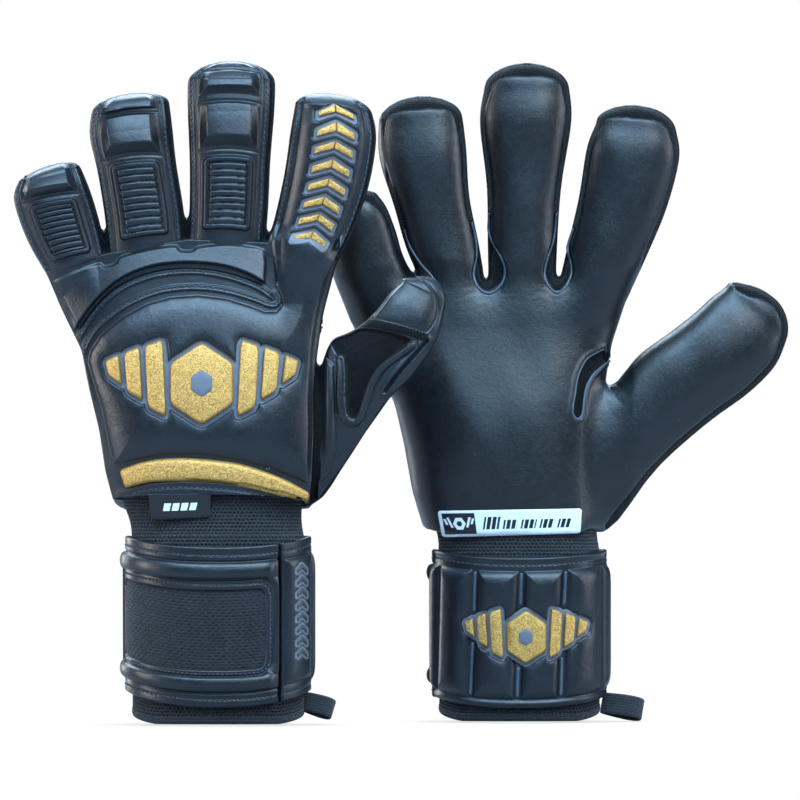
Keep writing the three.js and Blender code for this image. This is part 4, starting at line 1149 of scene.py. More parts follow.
def build_cuff(g):
    body = f"{g}_cuff"
    # ---- strap
    t_end = math.degrees(th_px("left", 282.0, True))
    th, v = cuff_grid(g, 173, t_end, int(330 / RES), int(230 / RES))
    H, d = strap_relief(g, th, v)
    endr = np.clip(1 - (math.radians(t_end) - th) * CUFF[g]["a"] / 1.0, 0, 1)
    H = H - 0.8 * endr ** 2
    cuff_panel(f"{g}_strap", g, th, v, H, 2.4, 1.0, "back_latex", body, replaces=[f"{g}_wrist_strap"])
    # ---- window fabric
    n = int(360 / RES); m = int(170 / RES)
    th, v = cuff_grid(g, 179, math.degrees(WIN_T1) + 1.6, n, m, WIN["v0"] - 0.025, WIN["v1"] + 0.02)
    s = arc(g, th); hgt = cuff_hi(g, th) - cuff_lo(g, th); z = v * hgt
    slit = brick(s, z, 3.0, 1.30, 2.0, 0.50, 1.4)
    fine = 0.10 * np.cos(2 * math.pi * z / 0.65) * np.cos(2 * math.pi * s / 0.75)
    bulge = 0.8 * (1 - np.clip(np.abs((v - 0.48) / 0.27), 0, 1) ** 2.5)
    cuff_panel(f"{g}_strap_window_knit", g, th, v, bulge - 0.45 * slit + fine, 2.5, 0.7, "strap_mesh", body, replaces=[f"{g}_strap_window"])
    # stitches of the strap
    def line(t0, t1, vv, base, rel, k=260):
        th = th_of(g, np.linspace(arc(g, t0), arc(g, t1), k)); v_ = np.full(k, vv) if np.isscalar(vv) else vv
        P = lambda a, b: cuff_pt(g, a, base - rel(g, a, b)[0], cuff_lo(g, a) + b * (cuff_hi(g, a) - cuff_lo(g, a)))
        return frame_line(P, th, v_)
    def frame_line(P, a, b):
        X = P(a, b); N = np.cross(P(a + 0.004, b) - X, P(a, b + 0.004) - X)
        N /= np.maximum(np.linalg.norm(N, axis=1, keepdims=True), 1e-9)
        ctr = np.array([CUFF[g]["x"] + OFFX, Y0[g] + OFFY, 0])
        out = (X - ctr); out[:, 2] = 0
        N *= np.where((N * out).sum(1, keepdims=True) < 0, -1, 1)
        return X, N
    key = (f"{g}_strap_stitches", ("body", body))
    for vv in (0.945, 0.048):
        stitch_row(key, *line(math.radians(175), math.radians(t_end - 1), vv, 2.4, strap_relief), pitch=2.1, length=1.5)
    P = lambda a, b: cuff_pt(g, a, 2.4 - strap_relief(g, a, b)[0], cuff_lo(g, a) + b * (cuff_hi(g, a) - cuff_lo(g, a)))
    # rounded window seam
    s0, s1 = arc(g, math.radians(183)), arc(g, WIN_T1)
    path = []
    hh = 64.0
    up_v, lo_v = WIN["v1"] + 1.9 / hh, WIN["v0"] - 1.2 / hh
    for s_ in np.linspace(s0, s1 - 4.2, 90): path.append((s_, up_v))
    for q in np.linspace(0, math.pi / 2, 14): path.append((s1 - 4.2 + (4.2 + 1.9) * math.sin(q), up_v - (4.2 + 1.9) / hh * (1 - math.cos(q))))
    for v_ in np.linspace(up_v - 6.1 / hh, lo_v + 6.1 / hh, 40): path.append((s1 + 1.9, v_))
    for q in np.linspace(0, math.pi / 2, 14): path.append((s1 - 4.2 + 6.1 * math.cos(q), lo_v + 6.1 / hh * (1 - math.sin(q))))
    for s_ in np.linspace(s1 - 4.2, s0, 90): path.append((s_, lo_v))
    path = np.array(path)
    X, N = frame_line(P, th_of(g, path[:, 0]), path[:, 1])
    stitch_row(key, X, N, pitch=1.9, length=1.35)
    # ---- tab
    t0 = math.degrees(th_px("left", 285.2, True))
    th, v = cuff_grid(g, t0, 357, int(170 / RES), int(230 / RES))
    tabf = lambda g, th, v: tab_relief(g, th, v, math.radians(t0))
    H, sl = tabf(g, th, v)
    cuff_panel(f"{g}_tab", g, th, v, H, 2.4, 0.8, "back_latex", f"{g}_tab", {"slate": (sl, 0.0)}, replaces=[f"{g}_strap_tab"])
    P2 = lambda a, b: cuff_pt(g, a, 2.4 - tabf(g, a, b)[0], cuff_lo(g, a) + b * (cuff_hi(g, a) - cuff_lo(g, a)))
    key2 = (f"{g}_tab_stitches", ("body", f"{g}_tab"))
    sa, sb = arc(g, math.radians(t0)), arc(g, math.radians(357)) - 2.2
    path = [(s_, 0.945) for s_ in np.linspace(sa + 0.5, sb, 70)] + [(sb, v_) for v_ in np.linspace(0.93, 0.063, 70)] + [(s_, 0.048) for s_ in np.linspace(sb, sa + 0.5, 70)]
    path = np.array(path)
    X, N = frame_line(P2, th_of(g, path[:, 0]), path[:, 1])
    stitch_row(key2, X, N, pitch=2.1, length=1.5)
    # muted chevrons on the tab
    parts = []
    for cv in TABCH:
        for sg in (-1, 1):
            cx = 304.0
            a = np.array([(cx, cv - 4.4), (cx + sg * 4.6, cv + 0.6), (cx + sg * 4.6, cv + 4.4), (cx, cv - 0.4)])
            if sg < 0: a = a[::-1]
            def place(Q, l):
                t_ = th_px("left", Q[..., 0], True); v_ = v_px("left", t_, Q[..., 1])
                return frame_line(P2, t_, v_)
            parts.append(crowned(rounded(a, 0.12, 4), place, 0.55, rings=4, edge=0.6, sink=0.4))
    V, Fs, A, I = join_parts(parts)
    emit(f"{g}_tab_chevrons", V, Fs, "muted_print", ("body", f"{g}_tab"))
    # ---- hook patch under the tab
    th, v = cuff_grid(g, 311, 340, 90, 120, 0.11, 0.89)
    s = arc(g, th); z = v * (cuff_hi(g, th) - cuff_lo(g, th))
    cuff_panel(f"{g}_hooks", g, th, v, 0.28 * np.abs(np.cos(math.pi * s / 1.1) * np.cos(math.pi * z / 1.1)), 3.9, 0.6, "hook_tape", body, replaces=[f"{g}_hook_patch"])
    # ---- palm-side pad
    th, v = cuff_grid(g, 3, 171, int(360 / RES), int(240 / RES))
    H, sl = pad_relief(g, th, v)
    cuff_panel(f"{g}_cuff_padding", g, th, v, H, 3.3, 1.2, "palm_latex" if False else "back_latex", body, {"slate": (sl, 0.0)}, replaces=[f"{g}_cuff_pad"])
    P3 = lambda a, b: cuff_pt(g, a, 3.3 - pad_relief(g, a, b)[0], cuff_lo(g, a) + b * (cuff_hi(g, a) - cuff_lo(g, a)))
    sa, sb = arc(g, math.radians(5)), arc(g, math.radians(169))
    ss = np.linspace(sa, sb, 300)
    X, N = frame_line(P3, th_of(g, ss), np.full(300, 0.948))
    stitch_row((f"{g}_pad_stitches", ("body", body)), X, N, pitch=2.3, length=1.7)
    # emblem on the pad
    def place3(Q, l):
        t_ = th_px("right", Q[..., 0], False); v_ = v_px("right", t_, Q[..., 1])
        return frame_line(P3, t_, v_)
    parts = [crowned(s_, place3, 2.0, rings=9, edge=1.8, sink=0.6) for s_ in EMB2]
    V, Fs, A, I = join_parts(parts)
    emit(f"{g}_cuff_emblem", V, Fs, "gold_print", ("body", body), {"shade": A})
    V, F, T, A = crowned(EMB2_HOLE, place3, 2.4, edge=0.5, sink=0.2)
    emit(f"{g}_cuff_emblem_core", V, [F, T], "slate_print", ("body", body))
    # thin piping in the grooves
    parts = []
    for i in range(3):
        vv = np.linspace(0.075, 0.895, 60)
        pxs = GRV[i][0] + (GRV[i][1] - GRV[i][0]) * (1 - vv)
        t_ = th_px("right", pxs, False)
        X, N = frame_line(P3, t_, vv)
        ok = emb_sdf(np.stack([pxs, py_v("right", t_, vv)], -1), EMB2) > 6
        for run in np.split(np.arange(60), np.where(np.diff(ok.astype(int)) != 0)[0] + 1):
            if len(run) > 4 and ok[run].all():
                parts.append(sweep(X[run], N[run], 0.75, 0.62, n=10, lift=0.15))
    V, Fs, A, I = join_parts(parts)
    emit(f"{g}_cuff_piping", V, Fs, "edge_latex", ("body", body))

TABCH = [568, 580, 592, 604, 616, 628, 640, 652]
def tab_relief(g, th, v, t0):
    hgt = cuff_hi(g, th) - cuff_lo(g, th)
    s = arc(g, th) - arc(g, np.float64(t0)); e = arc(g, np.float64(math.radians(357))) - arc(g, th)
    H = 1.0 + 0 * v
    dz = np.minimum(v - 0.098, 0.895 - v) * hgt
    d = np.minimum(np.minimum(s - 1.5, e - 4.6), dz)
    H += 1.25 * (1 - np.exp(-np.maximum(d, 0) / 2.2))
    H -= 0.45 * np.exp(-(d / 0.55) ** 2)
    H -= 0.25 * np.exp(-((v - 0.945) / 0.006) ** 2) + 0.25 * np.exp(-((v - 0.048) / 0.006) ** 2) + 0.25 * np.exp(-((e - 2.2) / 0.35) ** 2)
    rim = np.clip(1 - np.minimum(np.minimum(v, 1 - v) * hgt, np.minimum(s, e)) / 0.8, 0, 1)
    H -= 0.7 * rim ** 2
    # chevron recess
    P = np.stack([px_th("left", th), py_v("left", th, v)], -1)
    q = np.full(v.shape, 1e9)
    m = (P[..., 0] > 290) & (P[..., 1] > 550) & (P[..., 1] < 670)
    if m.any():
        Q = P[m]; r = np.full(len(Q), 1e9)
        for cv in TABCH:
            for sg in (-1, 1):
                a = np.array([(304.0, cv - 4.4), (304 + sg * 4.6, cv + 0.6), (304 + sg * 4.6, cv + 4.4), (304, cv - 0.4)])
                r = np.minimum(r, sdf(Q, a))
        q[m] = r
    sl = 1 - sstep(2.0, 2.8, q)
    H -= 0.4 * (1 - sstep(2.2, 3.4, q))
    return H, sl

GRV = [(473.3, 467.0), (522.0, 516.5), (568.8, 562.5)]
EMB2 = emblem(526, 636, 0.66)
EMB2_HOLE = rounded([(526 + 8.9 * math.sin(a), 636 - 9.2 * math.cos(a)) for a in np.radians([0, 60, 120, 180, 240, 300])], 0.12)
def pad_relief(g, th, v):
    hgt = cuff_hi(g, th) - cuff_lo(g, th)
    px = px_th("right", th)
    sR = arc("right", th)
    edges = [arc("right", np.float64(math.radians(171)))]
    # distance in mm to each groove along the arc
    dg = np.full(v.shape, 1e9)
    for a, b in GRV:
        tg = th_px("right", a + (b - a) * (1 - v), False)
        dg = np.minimum(dg, np.abs(sR - arc("right", tg)) - 1.35)
    tl = th_px("right", 436.5 - 3 * (1 - v), False); tr = th_px("right", 604.5, False)
    dl = arc("right", tl) - sR; dr = sR - arc("right", tr)
    # further cells wrap round the sides
    outer = np.minimum(np.abs(dl) - 1.0, np.abs(dr) - 1.0)
    d = np.minimum(dg, outer)
    d = np.minimum(d, np.minimum((v - 0.058) * hgt, (0.905 - v) * hgt))
    H = 0.9 + 2.7 * (1 - np.exp(-np.maximum(d, 0) / 2.0)) * (d > 0)
    H -= 0.25 * np.exp(-((v - 0.948) / 0.006) ** 2)
    H += 0.5 * np.exp(-((v - 0.985) / 0.012) ** 2)
    H += 0.7 * np.exp(-((v - 0.03) / 0.018) ** 2)
    rim = np.clip(1 - np.minimum(v, 1 - v) * hgt / 0.7, 0, 1)
    H -= 0.7 * rim ** 2
    P = np.stack([px, py_v("right", th, v)], -1)
    e = emb_sdf(P, EMB2)
    m = e < 40
    H = np.where(m, H - 1.0 * (1 - sstep(2.6, 4.4, e)) - 0.7 * np.exp(-np.maximum(e - 3.4, 0) / 4.5) * (e >= 3.4) - 0.7 * (e < 3.4), H)
    base_in = (e < 3.6)
    H = np.where(base_in, np.maximum(H, 1.5), H)
    sl = 1 - sstep(2.9, 3.9, e)
    return H, sl

def build_sleeve(g):
    C = CUFF[g]
    # lower sleeve: from the hem to the top of the strap
    rows_ = int(104 / RES); n, m = int(760 / RES), rows_ + 8
    th = th_of(g, np.linspace(0, ARC[g][-1], n + 1)[:-1])[:, None] * np.ones((1, m))
    s = arc(g, th)
    scale = ARC[g][-1] / (2.0 * round(ARC[g][-1] / 2.0))
    z0 = hem_z(th); z1 = C["sleeve"] + 0 * th
    wl = 17.0 / float(np.mean(z1 - z0))
    w = np.ones((n, 1)) * np.concatenate([np.linspace(0, wl, rows_), np.linspace(wl, 1, 9)[1:]])[None]
    z = z0 + w * (z1 - z0); zz = z - z0
    K = knit_relief(s / scale, zz)
    hem = 1 - sstep(2.6, 2.9, zz)
    chain = 0.55 + 0.35 * np.abs(np.cos(math.pi * zz / 1.35)) ** 0.6 + 0.10 * np.cos(2 * math.pi * (s / scale / 1.0 + np.floor(zz / 1.35) * 0.5)) + 0.25
    H = K * (1 - hem) + chain * hem
    H = H - 0.8 * np.clip(1 - zz / 0.6, 0, 1) ** 2
    visible = (zz < 17.5)
    H = np.where(visible, H, 0.4)
    outer = cuff_pt(g, th, 5.5 - H, z); inner = cuff_pt(g, th, 7.3 + 0 * H, z)
    V, Fs = shell(outer, inner, [0, rows_ // 2, rows_ + 2, m - 1])
    emit(f"{g}_sleeve_hem", V, Fs, "rib_knit", ("body", f"{g}_cuff"), replaces=[f"{g}_knit_sleeve"])
    # wrist: from inside the strap up into the hand opening
    m = int(120 / RES)
    w = np.linspace(0, 1, m)[None] * np.ones((n, 1))
    th = th[:, :1] * np.ones((1, m)); s = s[:, :1] * np.ones((1, m))
    Lf, Rt = mm(g, L[g]["left"]), mm(g, L[g]["right"])
    cx1 = (Lf[0, 0] + Rt[0, 0]) / 2; hw1 = (Rt[0, 0] - Lf[0, 0]) / 2 * 0.90
    za = C["top"] - 9.0; zb = (HANDZ[g][0] + HANDZ[g][1]) / 2 + 9.0
    z = za + w * (zb - za)
    q = sstep(0.15, 1.0, w)
    waist = 1.6 * np.sin(math.pi * w) ** 2
    a = (C["a"] - 4.4) * (1 - q) + hw1 * q - waist; b = (C["b"] - 4.2) * (1 - q) + 20.3 * q - waist
    cx = (C["x"] + OFFX) * (1 - q) + cx1 * q
    H = knit_relief(s / scale, w * (zb - za))
    outer = np.stack([cx + se(np.cos(th), 2.3) * (a + H), Y0[g] + OFFY + PALM[g] * se(np.sin(th), 2.3) * (b + H), z], -1)
    inner = np.stack([cx + se(np.cos(th), 2.3) * (a - 1.6), Y0[g] + OFFY + PALM[g] * se(np.sin(th), 2.3) * (b - 1.6), z], -1)
    V, Fs = shell(outer, inner, [0, m // 4, m // 2, 3 * m // 4, m - 1])
    V, Fs, _, _ = subset(V, Fs, [np.ones(len(f), bool) for f in Fs], {}, None)
    o = make_mesh(f"{g}_wrist_knit", V, Fs, "rib_knit")
    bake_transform(o)

def build_loop(g):
    Lp = {"left": dict(root=(-41.9, 9.4), dir=(1, -0.30), length=13, width=9, half=2.2),
          "right": dict(root=(85.9, 7.4), dir=(1, -0.18), length=17, width=10, half=2.4)}[g]
    dl = math.hypot(*Lp["dir"]); dx, dz = Lp["dir"][0] / dl, Lp["dir"][1] / dl
    ln, hf = Lp["length"], Lp["half"]
    n = int(150 / RES); m = int(40 / RES)
    q = np.linspace(0, 2 * math.pi, n, endpoint=False)
    # teardrop: flat at the seam, round at the far end
    s = ln * 0.5 * (1 - np.cos(q)); w = hf * np.sin(q) * (0.35 + 0.65 * s / ln)
    tn = np.stack([np.gradient(s), np.gradient(w)], -1); tn /= np.hypot(*tn.T)[:, None]
    nr = np.stack([tn[:, 1], -tn[:, 0]], -1)
    if ((nr[:, 1] * w).sum()) < 0: nr = -nr
    v = np.linspace(-1, 1, m)
    rib = 0.07 * np.cos(v[None] * 24) - 0.25 * np.clip((np.abs(v) - 0.93) / 0.07, 0, 1)[None] ** 2
    rib = rib + 0.03 * np.cos(q * 70)[:, None]
    def pt(off):
        S = s[:, None] + nr[:, 0:1] * off; W = w[:, None] + nr[:, 1:2] * off
        X = Lp["root"][0] + dx * S - dz * W; Z = Lp["root"][1] + dz * S + dx * W
        a_ = math.radians(58)
        vy = v[None] * Lp["width"] / 2
        # turned about its own length so that the broad face is seen from the front
        X0 = Lp["root"][0] + dx * S; Z0 = Lp["root"][1] + dz * S
        across = vy * math.cos(a_) + W * math.sin(a_); upw = -vy * math.sin(a_) + W * math.cos(a_)
        return np.stack([X0 - dz * upw + OFFX, Y0[g] + OFFY - across, Z0 + dx * upw], -1)
    out, inn = pt(0.5 + rib), pt(-0.45 - rib * 0.5)
    V = np.vstack([out.reshape(-1, 3), inn.reshape(-1, 3)])
    f = grid_faces(n, m, close_n=True); k = n * m
    i = np.arange(n); i2 = (i + 1) % n
    lo = np.stack([i * m, i2 * m, i2 * m + k, i * m + k], -1); hi = np.stack([i * m + m - 1, i2 * m + m - 1, i2 * m + m - 1 + k, i * m + m - 1 + k], -1)
    Fs = [np.vstack([f, f[:, ::-1] + k, lo[:, ::-1], hi])]
    if volume(V - V.mean(0), Fs) < 0: Fs = [Fs[0][:, ::-1]]
    emit(f"{g}_loop_band", V, Fs, "webbing", ("body", f"{g}_loop"), replaces=[f"{g}_pull_loop"])

# ------------------------------------------------------------------ palm side
def palm_map(g, P):
    if g == "right": return mm("right", P)
    h, t = hand_inverse("right", mm("right", P))
    return hand_xz("left", h, t)

CROTCH = [smooth_poly([(472,222),(476,238),(477,255),(474,276),(481,290),(492,293),(503,282),(505,268),(500,255),(493,243),(489,230),(490,213)], 60),
          smooth_poly([(557,213),(554,240),(547,260),(545,277),(553,291),(563,290),(571,276),(571,262),(568,248),(574,228)], 60),
          smooth_poly([(405,230),(411,248),(421,264),(433,278),(440,292),(442,303),(438,311),(431,309)], 50)]
SLIT = smooth_poly([(604,349),(596,353),(586,360),(578,376),(575,393),(573,405),(573,414),(577,419),(582,415),(584,400),(587,386),(594,374),(602,367),(610,361)], 70)
SLITPOLY = SLIT

def crotch_shift(g, k):
    """sheet offset from a finger gap of the right glove to the same gap of glove g"""
    if g == "right": return np.zeros(2)
    a, b = (("ring", "middle"), ("middle", "index"))[k]
    gap = lambda q: (np.asarray(L[q][a], float)[0, 1] + np.asarray(L[q][b], float)[0, 0]) / 2
    return gap(g) - gap("right")

def finger_outline(g, f):
    S, _ = with_cap(np.asarray(L[g][f], float), np.ones(len(L[g][f])))
    P = catmull(S.reshape(len(S), 4), np.linspace(0, len(S) - 1, 44)).reshape(-1, 2, 2)
    return np.vstack([P[:, 0], P[::-1, 1]])

def sheet(g, xz):
    return np.stack([(xz[..., 0] + 1.0 - OFFX) / SCALE[g] + 400, 400 - (xz[..., 1] - 137) / SCALE[g]], -1)

def relax(V, Fs, weight, rounds):
    """local smoothing by averaging along edges"""
    E = []
    for f in Fs:
        for k in range(f.shape[1]):
            E.append(np.stack([f[:, k], f[:, (k + 1) % f.shape[1]]], -1))
    E = np.vstack(E)
    use = (weight[E[:, 0]] > 0.01) | (weight[E[:, 1]] > 0.01)
    E = E[use]; n = len(V)
    deg = np.maximum(np.bincount(E[:, 0], minlength=n) + np.bincount(E[:, 1], minlength=n), 1)[:, None]
    V = V.copy()
    for _ in range(rounds):
        A = np.stack([np.bincount(E[:, 0], V[E[:, 1], i], minlength=n) + np.bincount(E[:, 1], V[E[:, 0], i], minlength=n) for i in range(3)], -1) / deg
        V += (A - V) * weight[:, None] * (deg > 1) * 0.6
    return V

def base_dress(g, V, Fs):
    """band attribute (dark knit) and small palm relief on the body"""
    P = sheet(g, V[:, [0, 2]])
    d = (V[:, 1] - Y0[g] - OFFY) * PALM[g]
    palm = d > 0.5
    tl, _ = dist_line(P, np.asarray(L[g]["top"], float)); rl, _ = dist_line(P, np.asarray(L[g]["right"][:5], float))
    wgt = np.maximum(1 - sstep(14, 34, tl), 0.9 * (1 - sstep(10, 28, rl))) * sstep(2.0, 6.0, d)
    V = relax(V, Fs, wgt, int(170 / RES))
    N = vnormals(V, Fs)
    band = np.zeros(len(V))
    for f in FINGERS:
        F = FF[(g, f)]
        s = (V[:, [0, 2]] - F["M0"]) @ F["n0"]; a = np.abs((V[:, [0, 2]] - F["M0"]) @ F["e0"])
        m = palm & (s > 4) & (a < 26 + 0.2 * s)
        if not m.any(): continue
        dist, sh = dist_line(P[m], finger_outline(g, f))
        S_ = np.asarray(L[g][f], float); tc = S_[-2].mean(0); et = S_[-2, 1] - S_[-2, 0]; et /= np.hypot(*et); nt_ = np.array([et[1], -et[0]])
        rho = np.abs((P[m] - tc) @ et); up_ = (P[m] - tc) @ nt_
        w = 4.2 + 9.3 * np.exp(-(rho / 33.0) ** 2) * sstep(-30, 6, up_)
        w *= sstep(10, 26, s[m])
        band[m] = np.maximum(band[m], 1 - sstep(-0.6, 0.6, dist - w))
    # thumb edge
    S, _ = with_cap(np.asarray(L[g]["thumb"], float), np.ones(7)); t = np.linspace(0, len(S) - 1, 56)
    TP = catmull(S.reshape(len(S), 4), t).reshape(-1, 2, 2)
    outl = np.vstack([TP[:, 1], TP[-26:, 0][::-1]])
    m = palm & (P[:, 0] > (TP[:, 0, 0].min() - 10))
    dist, sh = dist_line(P[m], outl)
    w = np.interp(sh, [0, 0.1, 0.5, 0.7, 0.85, 0.96, 1], [5, 6, 6.5, 9.5, 11.5, 8, 0])
    band[m] = np.maximum(band[m], 1 - sstep(-0.6, 0.6, dist - w))
    side = 1 - sstep(-2.2, -1.2, d + 0)
    band = np.maximum(band, side)
    depth = 0.75 * band * (d > -3) + 1.3 * sstep(-3.5, -6.5, d)
    # relief of crotch loops and slit
    palmf = np.zeros(len(V)); wr = np.zeros(len(V))
    ref = P if g == "right" else None
    if ref is None:
        h, t = hand_inverse("left", V[:, [0, 2]])
        ref = sheet("right", hand_xz("right", h, t))
    for ci, C in enumerate(CROTCH[:2]):
        C = C + crotch_shift(g, ci)
        m = palm & (np.hypot(P[:, 0] - C[:, 0].mean(), P[:, 1] - C[:, 1].mean()) < 90)
        e = sdf(P[m], C)
        palmf[m] = np.maximum(palmf[m], 1 - sstep(-0.5, 0.8, e))
        depth[m] += 1.3 * (1 - sstep(-1.5, 1.0, e)) - 0.18 * np.exp(-((e - 2.4) / 1.5) ** 2)
        c = C[np.argmax(C[:, 1])] if True else 0
        r = np.hypot(P[m, 0] - c[0], P[m, 1] - c[1]); an = np.arctan2(P[m, 1] - c[1], P[m, 0] - c[0])
        wr[m] -= 0.17 * np.maximum(np.sin(an * 23 + 0.9 * np.sin(r * 0.30) + 2.0 * np.sin(an * 3)), 0) ** 3 * np.exp(-((r - 14) / 12) ** 2) * sstep(c[1] - 10, c[1] + 2, P[m, 1])
    m = palm & (np.hypot(ref[:, 0] - 595, ref[:, 1] - 385) < 90)
    e = sdf(ref[m], SLITPOLY)
    palmf[m] = np.maximum(palmf[m], 1 - sstep(-0.6, 0.6, e))
    depth[m] += 1.5 * (1 - sstep(-1.5, 0.8, e)) - 0.5 * np.exp(-((e - 2.2) / 1.5) ** 2)
    x, y = ref[m, 0] - 590, ref[m, 1] - 385
    right = (ref[m, 0] > 596) & (ref[m, 0] < 650) & (ref[m, 1] > 350) & (ref[m, 1] < 430)
    fan = np.arctan2(ref[m, 1] - 330, ref[m, 0] - 570)
    wr[m] -= 0.26 * np.maximum(np.sin(fan * 52 + 0.04 * x * y / 20 + 1.3 * np.sin(fan * 9)), 0) ** 2 * np.exp(-((ref[m, 0] - 612) / 13) ** 2 - ((ref[m, 1] - 385) / 26) ** 2)
    # broad soft folds of the palm
    lo = 0.35 * np.sin(ref[:, 0] * 0.05 + ref[:, 1] * 0.021) * np.sin(ref[:, 1] * 0.043 + 1.1) + 0.2 * np.sin(ref[:, 0] * 0.11 - ref[:, 1] * 0.06)
    lo += 0.5 * np.exp(-((ref[:, 0] - 500) / 48) ** 2 - ((ref[:, 1] - 430) / 60) ** 2)
    depth = depth - (lo * 0.55 + wr) * palm * (1 - band)
    V2 = V - N * depth[:, None]
    return V2, np.maximum(band, palmf)

def label_patch(g, F):
    A = np.array([(437.5, 510.5), (582, 508), (580.5, 533), (442.5, 537)])
    n, m = int(300 / RES), int(64 / RES)
    U, W = np.linspace(0, 1, n)[:, None] * np.ones((1, m)), np.ones((n, 1)) * np.linspace(0, 1, m)[None]
    wpx, hpx = 142.0, 26.0
    r = 3.4
    dy = np.minimum(W, 1 - W) * hpx
    ins = np.where(dy < r, r - np.sqrt(np.maximum(r * r - (r - dy) ** 2, 0)), 0)
    X = ins + U * (wpx - 2 * ins)
    u = X / wpx
    P = ((A[0] + (A[1] - A[0]) * u[..., None]) * (1 - W[..., None]) + (A[3] + (A[2] - A[3]) * u[..., None]) * W[..., None])
    xz = palm_map(g, P)
    D = F(xz)
    # smooth the raster reading along the patch
    for _ in range(6):
        D[1:-1] = (D[:-2] + D[1:-1] + D[2:]) / 3
    edge = np.minimum(np.minimum(X - ins, wpx - ins - X), dy)
    lift = 0.75 * np.sqrt(np.clip(1 - (1 - np.clip(edge / 1.4, 0, 1)) ** 2, 0, 1)) + 0.1
    yy = W * hpx
    ink = ((X > 3.4) & (X < 36) & (yy > 2.6) & (yy < 23.4))
    hx, hy = X - 19.7, yy - 13.0
    hexd = np.maximum(np.abs(hx) * 0.866 + np.abs(hy) * 0.5, np.abs(hy))
    icon = (hexd < 5.6) & ~(hexd < 2.4)
    for sg in (-1, 1):
        for k, (a, b) in enumerate(((7.6, 10.0), (11.4, 13.6))):
            xx = sg * hx + 0.35 * hy
            icon |= (xx > a) & (xx < b) & (hy > -6.2 + 1.2 * k) & (hy < 3.6 - 2.6 * k)
    ink = ink & ~icon
    for k, (a, b, t0, t1) in enumerate([(44, 60, 7, 19), (64, 78, 10, 19), (82, 97, 10, 19), (101, 115, 10, 19), (119, 131, 10, 19)]):
        xx = X + (yy - 13) * 0.25
        bar = (xx > a) & (xx < b) & (yy > t0) & (yy < t1)
        notch = (np.abs((xx - a) % 5.2 - 2.6) < 0.7)
        ink |= bar & ~notch
    top = world(g, xz, D + lift); bot = world(g, xz, D - 1.2)
    V, Fs = slab(top, bot)
    emit(f"{g}_palm_label", V, Fs, "white_label", ("body", f"{g}_hand"), {"ink": np.concatenate([ink.astype(float).ravel(), np.zeros(n * m)])})

def palm_piping(g, F):
    """cut foam edges around the gusset openings"""
    def lay(C, lift, shift=None):
        xz = palm_map(g, C) if shift is None else mm(g, C + shift)
        D = F(xz)
        k = len(D)
        for _ in range(3): D[1:-1] = (D[:-2] + D[1:-1] + D[2:]) / 3
        X = world(g, xz, D + lift)
        e = 0.8
        dx = (F(xz + np.array([e, 0])) - F(xz - np.array([e, 0]))) / (2 * e); dz = (F(xz + np.array([0, e])) - F(xz - np.array([0, e]))) / (2 * e)
        N = np.stack([-dx, np.full(k, PALM[g]), -dz], -1); N /= np.linalg.norm(N, axis=1, keepdims=True)
        return X, N
    parts = []
    for ci, C in enumerate(CROTCH if g == "right" else CROTCH[:2]):
        if g == "left": C = C[C[:, 1] > 262]
        X, N = lay(C, 0.25, None if g == "right" else crotch_shift(g, ci))
        parts.append(sweep(X, N, 0.66, 0.55, n=10))
    X, N = lay(SLIT, 0.2)
    parts.append(sweep(X, N, 0.55, 0.5, n=10))
    V, Fs, A, I = join_parts(parts)
    emit(f"{g}_palm_cut_edges", V, Fs, "edge_latex", ("body", f"{g}_hand"))

# ------------------------------------------------------------------ back of the thumb
def thumb_rows(g):
    S, b = with_cap(mm(g, L[g]["thumb"]), np.array(TD, float))
    b[-8:] = np.maximum(b[-8:], 3.0)
    return S, b
def thumb_xz(g, h, t):
    S, b = thumb_rows(g)
    P = catmull(S.reshape(len(S), 4), np.clip(t, 0, 1) * (len(S) - 1))
    lo, hi = P[..., 2:4], P[..., 0:2]
    return lo + (hi - lo) * h[..., None]
T_TIP = smooth_poly([(340,326),(356,316),(372,302),(388,287),(402,278),(416,277),(427,283),(436,297),(438,312),(433,325),(424,332),(402,325.5),(376,319.5),(356,320)], 60, True)
T_BAND = smooth_poly([(331,333),(345,327.5),(358,324),(377,324.5),(402,330),(425,337.5)], 40)
T_MESH = smooth_poly([(326,336),(340,331),(358,328),(377,328.5),(400,334),(412,341),(399,353),(386,364),(376,378),(369,396),(361,415),(353,419),(347,414),(346,400),(346,380),(344,366),(335,352)], 90, True)
T_FL = smooth_poly([(341,359),(342,370),(342,385),(341.5,400),(344,414),(352,422),(360,419),(366,404),(372,386),(381,370),(396,358),(414,345)], 70)
T_FOLD = smooth_poly([(385,392),(394,379),(405,366),(416,354),(427,341)], 30)
T_SIDE = np.array([(319,349),(335,365),(336,400),(336,450),(330,476),(320,480)], float)
